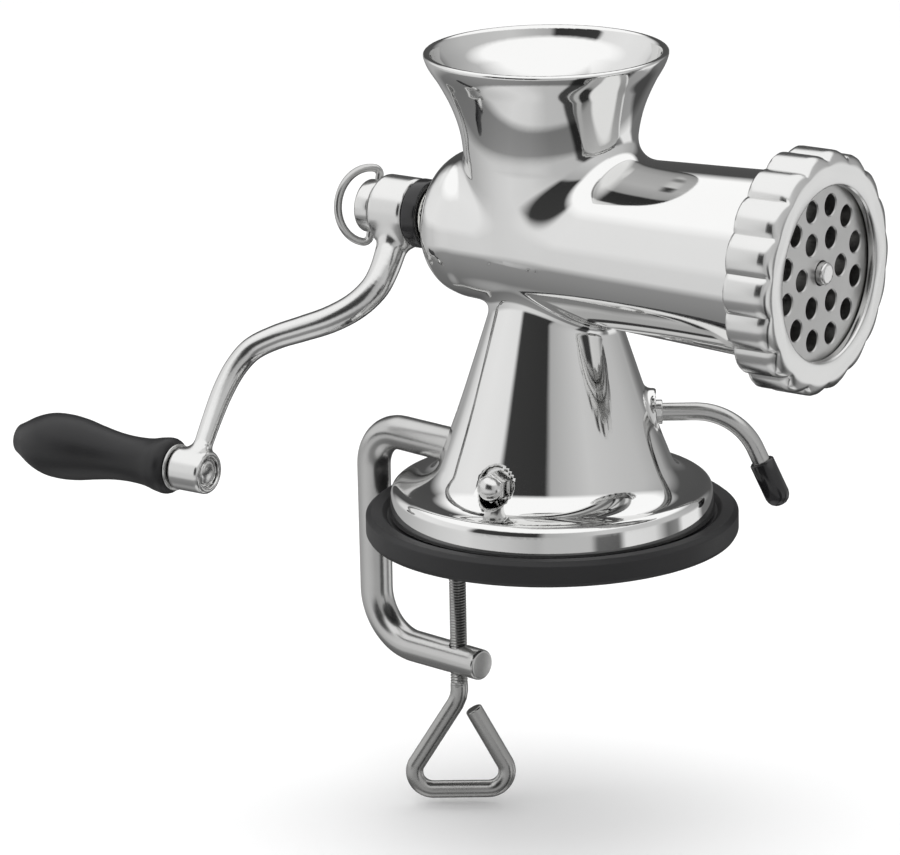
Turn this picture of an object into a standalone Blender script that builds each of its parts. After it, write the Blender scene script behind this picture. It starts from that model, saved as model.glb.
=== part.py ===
"""Hand crank meat grinder with a suction base and a table clamp.

Frame: +Z up, +X from the crank towards the mouth. The origin is the middle of the suction pad's
underside, which is the face that stands on the table. Sizes below are in millimetres.
"""

import math

import bmesh
import bpy
from mathutils import Matrix, Vector

MM = 0.001
GAP = 0.3  # between pieces that touch
RUN = 0.25  # radial clearance of a turning or sliding piece
SEGMENTS = 40  # sides of a large round piece
SMALL_SEGMENTS = 18  # sides of a pin, screw or small bush
STAGGER = 3.7  # turn of a round cutter about itself, which keeps its edges off those of its neighbours

# Heights of the main features above the table
SHAFT_Z = 103.5
RIM_Z = SHAFT_Z + 61.5
BASE_Z = 7.3
BASE_TOP_Z = 17.6

# Barrel, along X
BARREL_REAR_X = -28.5  # inside face of the rear wall
BOSS_END_X = -46.0
BOSS_R = 10.8
BARREL_REAR_R = 25.0
BARREL_MOUTH_R = 31.0
WALL = 3.6
FLANGE_X = 92.0  # where the thicker, threaded mouth starts
THREAD_R = 34.0
MOUTH_END_X = 102.5
SHOULDER_X = 95.0  # the mouth's recess for the knife and plate starts here
BORE_MOUTH_R = 26.5
BORE_REAR_R = 21.6

# Grinding plate and ring nut
PLATE_R = 31.0
PLATE_THICK = 5.0
PLATE_X = 99.8  # back face
PIN_R = 3.75  # auger's front pin, which carries the plate's middle
HOLE_R = 3.5
INNER_HOLES, INNER_HOLE_RING_R = 6, 12.0
OUTER_HOLES, OUTER_HOLE_RING_R = 12, 22.0
KEY_R = 1.5
KEY_RING_R = 30.9
NUT_BACK_X = 91.5
NUT_LIP = 2.9
NUT_OPENING_R = 28.5
NUT_VALLEY_R = 37.9
NUT_LOBE = 1.9
NUT_LOBES = 18

# Hopper
RIM_R = 40.5
HOPPER_WALL = 2.6
NECK_A, NECK_B = 29.6, 26.8  # half widths along X and Y

# Pedestal and base
PEDESTAL_X = 1.5
PEDESTAL_TOP_R = 22.3
PEDESTAL_TOP_Z = SHAFT_Z - 29.5
PEDESTAL_FOOT_R = 38.4
PEDESTAL_FOOT_Z = 24.0
PEDESTAL_WALL = 4.0
BASE_R = 54.7
PAD_R = 62.5

# Crank
TANG = 9.0  # square end of the auger's shaft
JOURNAL_R = 7.4
BUSH_R = 9.9
WASHER_R = 11.7
HUB_R = 11.6
HUB_FRONT_X = -52.0
HUB_BACK_X = -66.0
CRANK_ANGLE = 35.0  # from straight down towards -Y
CRANK_R = 102.0
EYE_FRONT_X = -99.0
EYE_BACK_X = -112.0
EYE_R = 7.3
GRIP_LENGTH = 66.0
GRIP_BOLT_R = 3.0
BOLT_HEAD_R = 4.2
GRIP_WASHER = 0.9
GRIP_WASHER_R = 8.0
EYE_RECESS = 1.6
EYE_RECESS_R = 5.2
ARM_TIP_R = 3.1
# lean along -X from the hub, distance from the shaft and radius, where the arm leaves the hub
ARM_BEND = (
    (0.0, 6.0, 5.4), (0.0, 14.0, 5.2), (0.0, 22.0, 4.9), (-1.5, 29.0, 4.8), (-6.5, 36.0, 4.7),
    (-14.5, 42.0, 4.6), (-24.0, 46.7, 4.4), (-33.0, 51.0, 4.2),
)
# the same, from the eye's middle, where it runs down to the eye
ARM_END = ((6.5, 56.5, 4.1), (2.5, 63.5, 3.9), (0.6, 72.0, 3.7), (0.0, 82.0, 3.4))
# share of the grip's length and radius
GRIP_SHAPE = (
    (0.0, 8.6), (0.03, 9.5), (0.08, 9.3), (0.15, 8.3), (0.26, 7.8), (0.38, 8.2), (0.50, 9.4),
    (0.61, 10.7), (0.71, 11.2), (0.81, 10.7), (0.90, 8.7), (0.96, 6.6), (1.0, 5.2),
)

# Thumb screw and its bail
THUMB_R = 9.0
THUMB_LENGTH = 5.5
THUMB_WASHER = 0.9
THUMB_SHANK_R = 2.8
THUMB_SHANK = 13.0
BAIL_WIRE_R = 1.35
BAIL_HALF = 12.6
BAIL_REACH = 10.4
BAIL_BEND = 2.2
BAIL_TILT = 18.0  # cross hole, from vertical
BAIL_SWING = 45.0  # from straight back, towards the user

# Table clamp
CLAMP_Z = 26.0
CLAMP_R = 6.0
CLAMP_TIP_R = 5.3
CLAMP_BACK_X = -(PAD_R + CLAMP_R + 4.5)
CLAMP_LOW_Z = -49.5
CLAMP_END = 49.5
CLAMP_INNER = 10.0 - CLAMP_BACK_X  # length of the upper arm from the leg's middle line
CLAMP_ANGLE = -9.0  # the bracket's plane, from +X towards +Y, about its leg
CLAMP_BEND_TOP, CLAMP_BEND_LOW = 14.0, 18.0
CLAMP_BOSS_R = 9.5
LOCK_X = 3.0
LOCK_R = 2.9
LOCK_SEAT_R = 6.3
LOCK_HEX_R = 5.2
LOCK_HEAD = 5.2
LOCK_DOME = 3.4
LOCK_SEAT_Y = 35.4  # depth of the screw's seat, from the middle
SCREW_OUT = 38.5  # from the leg's middle line
SCREW_R = 3.0
CAP_R = 8.0
CAP_TOP_Z = -8.0
CAP_THICK = 3.5
CAP_NECK = 3.5
HANDLE_HALF = 15.3
HANDLE_TOP_Z = -62.0
HANDLE_LOW_Z = -96.6
HANDLE_BEND = 6.5
HANDLE_TURN = 33.7  # the triangle's plane, from +X towards +Y

# Suction pad and its lever
PAD_RIM = 8.6
PAD_CENTRE_R = 15.7
PAD_CENTRE_THICK = 3.5
STEM_R = 3.2
STEM_FLANGE_R = 14.0
LEVER_Z = 41.2
LEVER_R = 3.0
LEVER_ANGLE = 33.7  # shaft's direction, from +X towards +Y
LEVER_BOSS_R = 8.0
LEVER_BOSS_U = 22.5  # where the boss starts inside the pedestal
THROW_HALF = 5.0  # half the length of the throw
FOLLOWER_THICK = 7.2
FOLLOWER_WALL = 2.5
FOLLOWER_PLAY = 1.0  # room above and below the throw, which runs in a circle
LEVER_THROW = 4.0
THROW_R = 2.2  # thinner middle of the lever's shaft, which lifts the stem
LEVER_BEND_U = PAD_R - 14.5
LEVER_BEND_R = 22.0
LEVER_DROP = 66.0
LEVER_STRAIGHT = 19.0
TIP_LENGTH = 16.0
TIP_R = 4.2

SHAFT = Vector((0, 0, SHAFT_Z))
TURN_TO_X = Matrix.Rotation(math.radians(90), 4, "Y")  # local +Z becomes +X


def material(name, colour, roughness, metallic):
    made = bpy.data.materials.new(name)
    made.use_nodes = True
    shader = made.node_tree.nodes["Principled BSDF"]
    shader.inputs["Base Color"].default_value = (*colour, 1)
    shader.inputs["Roughness"].default_value = roughness
    shader.inputs["Metallic"].default_value = metallic
    made.diffuse_color = (*colour, 1)
    return made


def finished(name, bm, finish, place=None):
    """The bmesh as a named object, welded, facing out and in metres."""
    bmesh.ops.remove_doubles(bm, verts=bm.verts, dist=1e-4)
    bmesh.ops.recalc_face_normals(bm, faces=bm.faces)
    bmesh.ops.scale(bm, vec=(MM, MM, MM), verts=bm.verts)
    mesh = bpy.data.meshes.new(name)
    bm.to_mesh(mesh)
    bm.free()
    made = bpy.data.objects.new(name, mesh)
    bpy.context.scene.collection.objects.link(made)
    if place is not None:
        matrix = place.copy()
        matrix.translation = matrix.translation * MM
        made.matrix_world = matrix
    if finish is not None:
        mesh.materials.append(finish)
        mesh.shade_smooth()
        mesh.set_sharp_from_angle(angle=math.radians(35))
    return made


def turned(name, profile, finish, place=None, segments=SEGMENTS):
    """A closed solid turned about local Z, from (radius, height) points."""
    bm = bmesh.new()
    points = [bm.verts.new((r, 0, z)) for r, z in profile]
    closing = [] if profile[0][0] == 0 and profile[-1][0] == 0 else [(points[-1], points[0])]
    edges = [bm.edges.new(pair) for pair in [*zip(points, points[1:]), *closing]]
    bmesh.ops.spin(
        bm, geom=points + edges, cent=(0, 0, 0), axis=(0, 0, 1), angle=2 * math.pi, steps=segments
    )
    return finished(name, bm, finish, place)


def ring_profile(inner, outer, low, high):
    return [(inner, low), (outer, low), (outer, high), (inner, high)]


def rod_profile(radius, low, high):
    return [(0, low), (radius, low), (radius, high), (0, high)]


def lofted(name, rings, finish, segments=SEGMENTS):
    """A solid through upright oval rings (height, half width in X, half width in Y, middle's X)."""
    bm = bmesh.new()
    loops = []
    for z, a, b, x in rings:
        turn = [2 * math.pi * k / segments for k in range(segments)]
        loops.append([bm.verts.new((x + a * math.cos(t), b * math.sin(t), z)) for t in turn])
    for low, high in zip(loops, loops[1:]):
        for k in range(segments):
            n = (k + 1) % segments
            bm.faces.new((low[k], low[n], high[n], high[k]))
    bm.faces.new(loops[0][::-1])
    bm.faces.new(loops[-1])
    return finished(name, bm, finish)


def block(name, size, finish, place):
    bm = bmesh.new()
    bmesh.ops.create_cube(bm, size=1)
    bmesh.ops.scale(bm, vec=size, verts=bm.verts)
    return finished(name, bm, finish, place)


def bent_rod(name, points, radii, finish, sides=SMALL_SEGMENTS):
    """A round rod along points, with a radius at each of them and flat ends."""
    curve = bpy.data.curves.new(name, "CURVE")
    curve.dimensions = "3D"
    curve.bevel_depth = 1.0
    curve.bevel_resolution = sides // 4 - 2
    curve.use_fill_caps = True
    spline = curve.splines.new("POLY")
    spline.points.add(len(points) - 1)
    for point, place, radius in zip(spline.points, points, radii):
        point.co = (*place, 1)
        point.radius = radius
    guide = bpy.data.objects.new(name + "_guide", curve)
    bpy.context.scene.collection.objects.link(guide)
    bm = bmesh.new()
    bm.from_mesh(bpy.data.meshes.new_from_object(guide))
    bpy.data.objects.remove(guide)
    return finished(name, bm, finish)


def arc(middle, start, turn, radius, across, along, steps):
    """Points of an arc in the plane of across and along; angles in degrees from across."""
    for k in range(steps + 1):
        t = math.radians(start + turn * k / steps)
        yield middle + across * radius * math.cos(t) + along * radius * math.sin(t)


def combine(target, operation, *others):
    """Cuts the others from target, or joins them to it, and hides them as helpers."""
    for other in others:
        step = target.modifiers.new(other.name, "BOOLEAN")
        step.operation = operation
        step.object = other
        step.solver = "EXACT"
        other.hide_render = True
        other.display_type = "WIRE"
    return target


def cutter_rod(name, radius, start, end, segments=SMALL_SEGMENTS):
    """A plain round helper from start to end."""
    start, end = Vector(start), Vector(end)
    turn = (end - start).to_track_quat("Z", "Y").to_matrix().to_4x4()
    turn = turn @ Matrix.Rotation(math.radians(STAGGER), 4, "Z")
    turn.translation = start
    return turned(name, rod_profile(radius, 0, (end - start).length), None, turn, segments)


def along_x(x=0.0, y=0.0, z=SHAFT_Z):
    """Places a turned piece with its local Z along +X."""
    place = TURN_TO_X.copy()
    place.translation = (x, y, z)
    return place


def clear_scene():
    for old in list(bpy.data.objects):
        bpy.data.objects.remove(old)


def barrel_radius(x):
    """Outside radius of the barrel, which tapers towards the rear."""
    share = (x - BARREL_REAR_X) / (FLANGE_X - BARREL_REAR_X)
    return BARREL_REAR_R + (BARREL_MOUTH_R - BARREL_REAR_R) * share


def bore_radius(x):
    """Inside radius of the barrel."""
    share = (x - BARREL_REAR_X) / (SHOULDER_X - BARREL_REAR_X)
    return BORE_REAR_R + (BORE_MOUTH_R - BORE_REAR_R) * share


def pedestal_radius(z):
    """Outside radius of the pedestal's cone."""
    share = (z - PEDESTAL_FOOT_Z) / (PEDESTAL_TOP_Z - PEDESTAL_FOOT_Z)
    return PEDESTAL_FOOT_R + (PEDESTAL_TOP_R - PEDESTAL_FOOT_R) * share


def lever_directions():
    angle = math.radians(LEVER_ANGLE)
    out = Vector((math.cos(angle), math.sin(angle), 0))
    side = Vector((-math.sin(angle), math.cos(angle), 0))
    return out, side


def lever_point(along):
    """A point of the lever's axis, at a distance from the middle."""
    return lever_directions()[0] * along + Vector((0, 0, LEVER_Z))


def stem_top():
    """Top of the stem, inside the follower's lower wall."""
    return LEVER_Z - LEVER_THROW - THROW_R - FOLLOWER_PLAY - 0.6


def lever_hole_radius():
    """The hole that the lever's throw goes in through."""
    return LEVER_THROW + THROW_R + 2 * RUN


def clamp_point(out, z):
    """A point of the bracket's plane, at a distance from its leg and a height."""
    angle = math.radians(CLAMP_ANGLE)
    return Vector((CLAMP_BACK_X + out * math.cos(angle), out * math.sin(angle), z))


def crank_direction():
    angle = math.radians(CRANK_ANGLE)
    return Vector((0, -math.sin(angle), -math.cos(angle)))


def body_shell(steel):
    """Outer form of the casting: barrel, hopper, pedestal and base disc in one."""
    dome = 12.5
    barrel = turned(
        "body_casting",
        [
            (0, BOSS_END_X),
            (BOSS_R, BOSS_END_X),
            (BOSS_R, BOSS_END_X + 4.5),
            (BARREL_REAR_R * 0.62, BARREL_REAR_X - dome + 1.2),
            (BARREL_REAR_R * 0.82, BARREL_REAR_X - dome + 4.5),
            (BARREL_REAR_R * 0.95, BARREL_REAR_X - dome + 9.0),
            (barrel_radius(BARREL_REAR_X + 3), BARREL_REAR_X + 3),
            (BARREL_MOUTH_R, FLANGE_X - 0.1),
            (THREAD_R, FLANGE_X),
            (THREAD_R, MOUTH_END_X),
            (0, MOUTH_END_X),
        ],
        steel,
        along_x(),
    )
    hopper = lofted(
        "hopper_form",
        [
            (SHAFT_Z - 4, NECK_A - 3, NECK_B - 3, 1.5),
            (SHAFT_Z + 4, NECK_A - 0.8, NECK_B - 0.6, 1.5),
            (RIM_Z - 34, NECK_A, NECK_B, 1.2),
            (RIM_Z - 26, NECK_A + 0.6, NECK_B + 1.5, 0.8),
            (RIM_Z - 16, NECK_A + 3.9, NECK_B + 5.4, 0.4),
            (RIM_Z - 8, RIM_R - 2.9, RIM_R - 3.3, 0),
            (RIM_Z - 2, RIM_R - 0.3, RIM_R - 0.3, 0),
            (RIM_Z, RIM_R, RIM_R, 0),
        ],
        None,
    )
    foot, top = PEDESTAL_FOOT_Z, PEDESTAL_TOP_Z
    pedestal = lofted(
        "pedestal_form",
        [
            (z, r, r, PEDESTAL_X)
            for z, r in (
                (BASE_TOP_Z - 3, PEDESTAL_FOOT_R + 9),
                (BASE_TOP_Z + 0.7, PEDESTAL_FOOT_R + 4.2),
                (BASE_TOP_Z + 2.6, PEDESTAL_FOOT_R + 1.7),
                (foot, PEDESTAL_FOOT_R),
                (top, PEDESTAL_TOP_R),
                (top + 10, pedestal_radius(top + 10)),
            )
        ],
        None,
    )
    disc = turned(
        "base_form",
        [
            (0, BASE_Z),
            (BASE_R, BASE_Z),
            (BASE_R, BASE_Z + 1.2),
            (BASE_R - 1.1, BASE_TOP_Z - 1.2),
            (BASE_R - 2.1, BASE_TOP_Z - 0.2),
            (PEDESTAL_FOOT_R, BASE_TOP_Z + 0.6),
            (0, BASE_TOP_Z + 0.9),
        ],
        None,
    )
    lever_boss = cutter_rod(
        "lever_boss_form", LEVER_BOSS_R, lever_point(LEVER_BOSS_U - 0.5),
        lever_point(pedestal_radius(LEVER_Z) + PEDESTAL_X + 0.8),
    )
    return combine(barrel, "UNION", hopper, pedestal, disc, lever_boss)


def body_hollows():
    """Cutters for everything that is open inside the casting."""
    bore = turned(
        "bore_cut",
        [
            (0, BARREL_REAR_X),
            (BORE_REAR_R, BARREL_REAR_X),
            (BORE_MOUTH_R, SHOULDER_X),
            (PLATE_R + RUN, SHOULDER_X),
            (PLATE_R + RUN, MOUTH_END_X + 2),
            (0, MOUTH_END_X + 2),
        ],
        None,
        along_x(),
    )
    rear = cutter_rod("rear_cut", BUSH_R + RUN, (BARREL_REAR_X + 1, 0, SHAFT_Z), (BOSS_END_X - 1, 0, SHAFT_Z))
    wall = HOPPER_WALL
    throat = lofted(
        "hopper_cut",
        [
            (SHAFT_Z + 6, NECK_A - 7, NECK_B - 7.5, 1.5),
            (RIM_Z - 34, NECK_A - wall, NECK_B - wall, 1.2),
            (RIM_Z - 26, NECK_A + 0.6 - wall, NECK_B + 1.5 - wall, 0.8),
            (RIM_Z - 16, NECK_A + 3.7 - wall, NECK_B + 5.2 - wall, 0.4),
            (RIM_Z - 8, RIM_R - 3.2 - wall, RIM_R - 3.6 - wall, 0),
            (RIM_Z + 0.5, RIM_R + 0.4 - wall, RIM_R + 0.4 - wall, 0),
        ],
        None,
    )
    wall = PEDESTAL_WALL
    hollow = lofted(
        "pedestal_cut",
        [
            (z, r, r, PEDESTAL_X)
            for z, r in (
                (BASE_Z - 2, PEDESTAL_FOOT_R - wall + 1.5),
                (PEDESTAL_FOOT_Z, PEDESTAL_FOOT_R - wall),
                (PEDESTAL_TOP_Z - 16, pedestal_radius(PEDESTAL_TOP_Z - 16) - wall),
                (PEDESTAL_TOP_Z - 8, pedestal_radius(PEDESTAL_TOP_Z - 8) - 2.5 * wall),
            )
        ],
        None,
    )
    clamp_boss = cutter_rod(
        "clamp_boss_form", CLAMP_BOSS_R,
        clamp_point(0.35 * CLAMP_INNER, CLAMP_Z), clamp_point(CLAMP_INNER + 4, CLAMP_Z),
    )
    follower_room = cutter_rod(
        "follower_room_form", 11.0, (0, 0, CLAMP_Z + CLAMP_R - 0.7), (0, 0, PEDESTAL_TOP_Z - 20), SMALL_SEGMENTS + 4
    )
    lever_seat = cutter_rod("lever_seat_form", LEVER_BOSS_R, lever_point(LEVER_BOSS_U), lever_point(BASE_R))
    far_seat = cutter_rod("lever_far_form", 5.5, lever_point(-LEVER_BOSS_U), lever_point(-BASE_R))
    combine(hollow, "DIFFERENCE", clamp_boss, lever_seat, far_seat)
    combine(hollow, "UNION", follower_room)
    clamp_bore = cutter_rod(
        "clamp_bore_cut", CLAMP_R + RUN, clamp_point(5, CLAMP_Z), clamp_point(CLAMP_INNER + GAP, CLAMP_Z), 24
    )
    stem_bore = cutter_rod("stem_cut", STEM_R + 2 * RUN, (0, 0, BASE_Z), (0, 0, CLAMP_Z + CLAMP_BOSS_R + 4))
    lock_place = Matrix.Translation((LOCK_X, 0, CLAMP_Z)) @ Matrix.Rotation(math.radians(90), 4, "X")
    lock_inner = lock_reach() - 3
    lock_bore = turned(
        "lock_cut",
        [
            (0, lock_inner), (LOCK_R + RUN, lock_inner), (LOCK_R + RUN, LOCK_SEAT_Y),
            (LOCK_SEAT_R, LOCK_SEAT_Y), (LOCK_SEAT_R, 2 * PEDESTAL_FOOT_R), (0, 2 * PEDESTAL_FOOT_R),
        ],
        None, lock_place, SMALL_SEGMENTS + 2,
    )
    lever_far = cutter_rod(
        "lever_far_cut", LEVER_R + RUN, lever_point(10), lever_point(2.4 - pedestal_radius(LEVER_Z))
    )
    lever_near = cutter_rod("lever_near_cut", lever_hole_radius(), lever_point(15), lever_point(BASE_R + 5))
    key_hole = cutter_rod(
        "key_cut", KEY_R + 0.05, (FLANGE_X + 0.8, 0, SHAFT_Z + KEY_RING_R), (MOUTH_END_X + 2, 0, SHAFT_Z + KEY_RING_R),
        12,
    )
    return bore, rear, throat, hollow, clamp_bore, stem_bore, lever_far, lever_near, key_hole, lock_bore


def lock_reach():
    """How far from the middle the lock screw's tip stops, just short of the bar."""
    angle = math.radians(CLAMP_ANGLE)
    return (LOCK_X + LOCK_R - CLAMP_BACK_X) * math.tan(-angle) + CLAMP_R / math.cos(angle) + GAP


def make_body(steel):
    combine(body_shell(steel), "DIFFERENCE", *body_hollows())


def make_bearing(nylon, black):
    """Nylon bush in the rear wall, with its flange inside, and the washer behind the hub."""
    flange = 1.6
    turned(
        "rear_bush",
        [
            (JOURNAL_R + RUN, BOSS_END_X + GAP),
            (BUSH_R, BOSS_END_X + GAP),
            (BUSH_R, BARREL_REAR_X + GAP),
            (BUSH_R + 3, BARREL_REAR_X + GAP),
            (BUSH_R + 3, BARREL_REAR_X + GAP + flange),
            (JOURNAL_R + RUN, BARREL_REAR_X + GAP + flange),
        ],
        nylon,
        along_x(),
        32,
    )
    turned(
        "thrust_washer",
        ring_profile(JOURNAL_R + RUN, WASHER_R, HUB_FRONT_X + GAP, BOSS_END_X - GAP),
        black,
        along_x(),
        32,
    )


def flight(start, end, turns, root, thick, steps):
    """The auger's helical flight as one closed ribbon, from x = start to x = end."""
    bm = bmesh.new()
    previous = None
    for k in range(steps + 1):
        share = k / steps
        x = start + (end - start) * share ** 0.9
        angle = 2 * math.pi * turns * share
        outer = bore_radius(x) - 0.8
        section = []
        for radius, half in ((root, thick * 0.8), (outer, thick / 2)):
            for side in (-half, half):
                turn = Matrix.Rotation(angle, 3, "X") @ Vector((0, 0, radius))
                section.append(bm.verts.new((x + side, turn.y, turn.z)))
        quad = [section[0], section[1], section[3], section[2]]
        if previous is None:
            bm.faces.new(quad)
        else:
            for n in range(4):
                m = (n + 1) % 4
                bm.faces.new((previous[n], previous[m], quad[m], quad[n]))
        previous = quad
    bm.faces.new(previous[::-1])
    place = Matrix.Translation((0, 0, SHAFT_Z))
    return finished("flight_form", bm, None, place)


def make_auger(steel):
    """Feed screw: tang and journal at the rear, flight, and a square and pin at the front."""
    collar_x = BARREL_REAR_X + GAP + 1.6 + GAP
    front_x = SHOULDER_X - 1.2
    auger = turned(
        "auger",
        [
            (0, HUB_FRONT_X + GAP + 0.1),
            (JOURNAL_R, HUB_FRONT_X + GAP + 0.1),
            (JOURNAL_R, collar_x),
            (JOURNAL_R + 5, collar_x),
            (JOURNAL_R + 5, collar_x + 4),
            (10.5, collar_x + 6),
            (9.5, front_x),
            (0, front_x),
        ],
        steel,
        along_x(),
        28,
    )
    tang = block(
        "tang_form", (HUB_FRONT_X - HUB_BACK_X + 2 - GAP, TANG, TANG), None,
        Matrix.Translation(((HUB_FRONT_X + HUB_BACK_X) / 2 + 1 + GAP / 2, 0, SHAFT_Z)),
    )
    square = block(
        "square_form", (PLATE_X - front_x, TANG, TANG), None,
        Matrix.Translation(((PLATE_X + front_x) / 2 - 0.6, 0, SHAFT_Z)),
    )
    pin = cutter_rod("pin_form", PIN_R, (front_x - 1, 0, SHAFT_Z), (PLATE_X + PLATE_THICK + 2.6, 0, SHAFT_Z))
    ribbon = flight(collar_x + 3.5, front_x - 2.2, 4.5, 8.0, 4.0, 66)
    combine(auger, "UNION", tang, square, pin, ribbon)
    thread = cutter_rod(
        "auger_thread_cut", THUMB_SHANK_R + RUN, (HUB_BACK_X - 2, 0, SHAFT_Z), (HUB_BACK_X + THUMB_SHANK + 1, 0, SHAFT_Z)
    )
    combine(auger, "DIFFERENCE", thread)


def make_knife(steel):
    """Four blades on a square-bored hub, in front of the auger."""
    back, front = SHOULDER_X + GAP, PLATE_X - GAP
    bm = bmesh.new()
    outline = []
    for blade in range(4):
        for radius, degrees in ((9.0, -42), (24.0, -13), (27.4, -9), (27.4, 3), (24.0, 5), (9.0, 14)):
            t = math.radians(90 * blade + degrees)
            outline.append((radius * math.sin(t), radius * math.cos(t)))
    low = [bm.verts.new((back, y, z)) for y, z in outline]
    high = [bm.verts.new((front, y, z)) for y, z in outline]
    for k in range(len(outline)):
        n = (k + 1) % len(outline)
        bm.faces.new((low[k], low[n], high[n], high[k]))
    bm.faces.new(low[::-1])
    bm.faces.new(high)
    knife = finished("knife", bm, steel, Matrix.Translation((0, 0, SHAFT_Z)))
    hole = block("knife_cut", (20, TANG + GAP, TANG + GAP), None, Matrix.Translation((PLATE_X, 0, SHAFT_Z)))
    combine(knife, "DIFFERENCE", hole)


def make_plate(steel):
    """Perforated plate, located by a notch that fits the key in the mouth."""
    bm = bmesh.new()
    segments = 64

    def hole_ring(count, ring, start):
        for k in range(count):
            t = 2 * math.pi * (k + start) / count
            yield ring * math.sin(t), ring * math.cos(t)

    plate = turned(
        "grinding_plate",
        ring_profile(PIN_R + RUN, PLATE_R, PLATE_X, PLATE_X + PLATE_THICK),
        steel, along_x(), segments,
    )
    centres = [*hole_ring(INNER_HOLES, INNER_HOLE_RING_R, 0.5), *hole_ring(OUTER_HOLES, OUTER_HOLE_RING_R, 0.5)]
    for y, z in centres:
        t = bmesh.ops.create_cone(
            bm, cap_ends=True, segments=10, radius1=HOLE_R, radius2=HOLE_R, depth=PLATE_THICK * 3,
        )
        turn = TURN_TO_X.copy()
        turn.translation = (PLATE_X, y, z)
        bmesh.ops.transform(bm, matrix=turn, verts=t["verts"])
    holes = finished("plate_holes_cut", bm, None, Matrix.Translation((0, 0, SHAFT_Z)))
    notch = cutter_rod(
        "notch_cut", KEY_R + 0.5, (PLATE_X - 3, 0, SHAFT_Z + KEY_RING_R + 0.3),
        (PLATE_X + 9, 0, SHAFT_Z + KEY_RING_R + 0.3), 12,
    )
    combine(plate, "DIFFERENCE", holes, notch)
    turned(
        "plate_key", rod_profile(KEY_R, FLANGE_X + 1.1, PLATE_X + PLATE_THICK - 1.6), steel,
        along_x(0, 0, SHAFT_Z + KEY_RING_R), 12,
    )


def make_ring_nut(steel):
    """Lobed ring that screws on the mouth and holds the plate by its lip."""
    front = PLATE_X + PLATE_THICK + GAP + NUT_LIP
    around = NUT_LOBES * 6
    bm = bmesh.new()
    outline = []
    for k in range(around):
        t = 2 * math.pi * k / around
        bulge = abs(math.sin(NUT_LOBES * t / 2)) ** 0.8
        outline.append((t, NUT_VALLEY_R + NUT_LOBE * bulge))
    loops = []
    for x, cap in ((NUT_BACK_X, NUT_VALLEY_R), (NUT_BACK_X + 2, 99), (front - 3, 99), (front, NUT_VALLEY_R - 0.8)):
        loops.append(
            [bm.verts.new((x, min(r, cap) * math.sin(t), min(r, cap) * math.cos(t))) for t, r in outline]
        )
    for low, high in zip(loops, loops[1:]):
        for k in range(around):
            n = (k + 1) % around
            bm.faces.new((low[k], low[n], high[n], high[k]))
    bm.faces.new(loops[0][::-1])
    bm.faces.new(loops[-1])
    nut = finished("ring_nut", bm, steel, Matrix.Translation((0, 0, SHAFT_Z)))
    hollow = turned(
        "nut_cut",
        [
            (0, NUT_BACK_X - 2),
            (THREAD_R + GAP, NUT_BACK_X - 2),
            (THREAD_R + GAP, front - NUT_LIP),
            (NUT_OPENING_R, front - NUT_LIP),
            (NUT_OPENING_R, front - 0.8),
            (NUT_OPENING_R + 1.2, front + 0.4),
            (0, front + 0.4),
        ],
        None,
        along_x(),
        64,
    )
    combine(nut, "DIFFERENCE", hollow)


def make_crank(steel):
    """Hub, swept arm and eye of the crank in one piece."""
    down = crank_direction()
    arm_x = (HUB_FRONT_X + HUB_BACK_X) / 2 + 1.0
    far_x = (EYE_FRONT_X + EYE_BACK_X) / 2
    sweep = [(arm_x + lean, r, radius) for lean, r, radius in ARM_BEND]
    sweep += [(far_x + lean, r, radius) for lean, r, radius in ARM_END]
    sweep += [(far_x, CRANK_R - EYE_R + 1.5, ARM_TIP_R)]
    arm = bent_rod(
        "crank_arm_form", [SHAFT + Vector((x, 0, 0)) + down * r for x, r, _ in sweep],
        [radius for *_, radius in sweep], None, 16,
    )
    crank = turned(
        "crank_arm",
        [
            (0, HUB_BACK_X), (HUB_R - 1.6, HUB_BACK_X), (HUB_R, HUB_BACK_X + 1.6),
            (HUB_R, HUB_FRONT_X), (0, HUB_FRONT_X),
        ],
        steel, along_x(), 40,
    )
    eye_place = SHAFT + down * CRANK_R
    eye = cutter_rod(
        "eye_form", EYE_R, (EYE_BACK_X, eye_place.y, eye_place.z), (EYE_FRONT_X, eye_place.y, eye_place.z), 32
    )
    combine(crank, "UNION", arm, eye)
    tang = block(
        "hub_cut", (40, TANG + 2 * RUN, TANG + 2 * RUN), None, Matrix.Translation((HUB_BACK_X + 7, 0, SHAFT_Z))
    )
    bolt = cutter_rod(
        "eye_cut", GRIP_BOLT_R + RUN, (EYE_BACK_X - 5, eye_place.y, eye_place.z),
        (EYE_FRONT_X + 5, eye_place.y, eye_place.z),
    )
    recess = cutter_rod(
        "eye_recess_cut", EYE_RECESS_R, (EYE_FRONT_X - EYE_RECESS, eye_place.y, eye_place.z),
        (EYE_FRONT_X + 5, eye_place.y, eye_place.z),
    )
    combine(crank, "DIFFERENCE", tang, bolt, recess)


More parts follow.
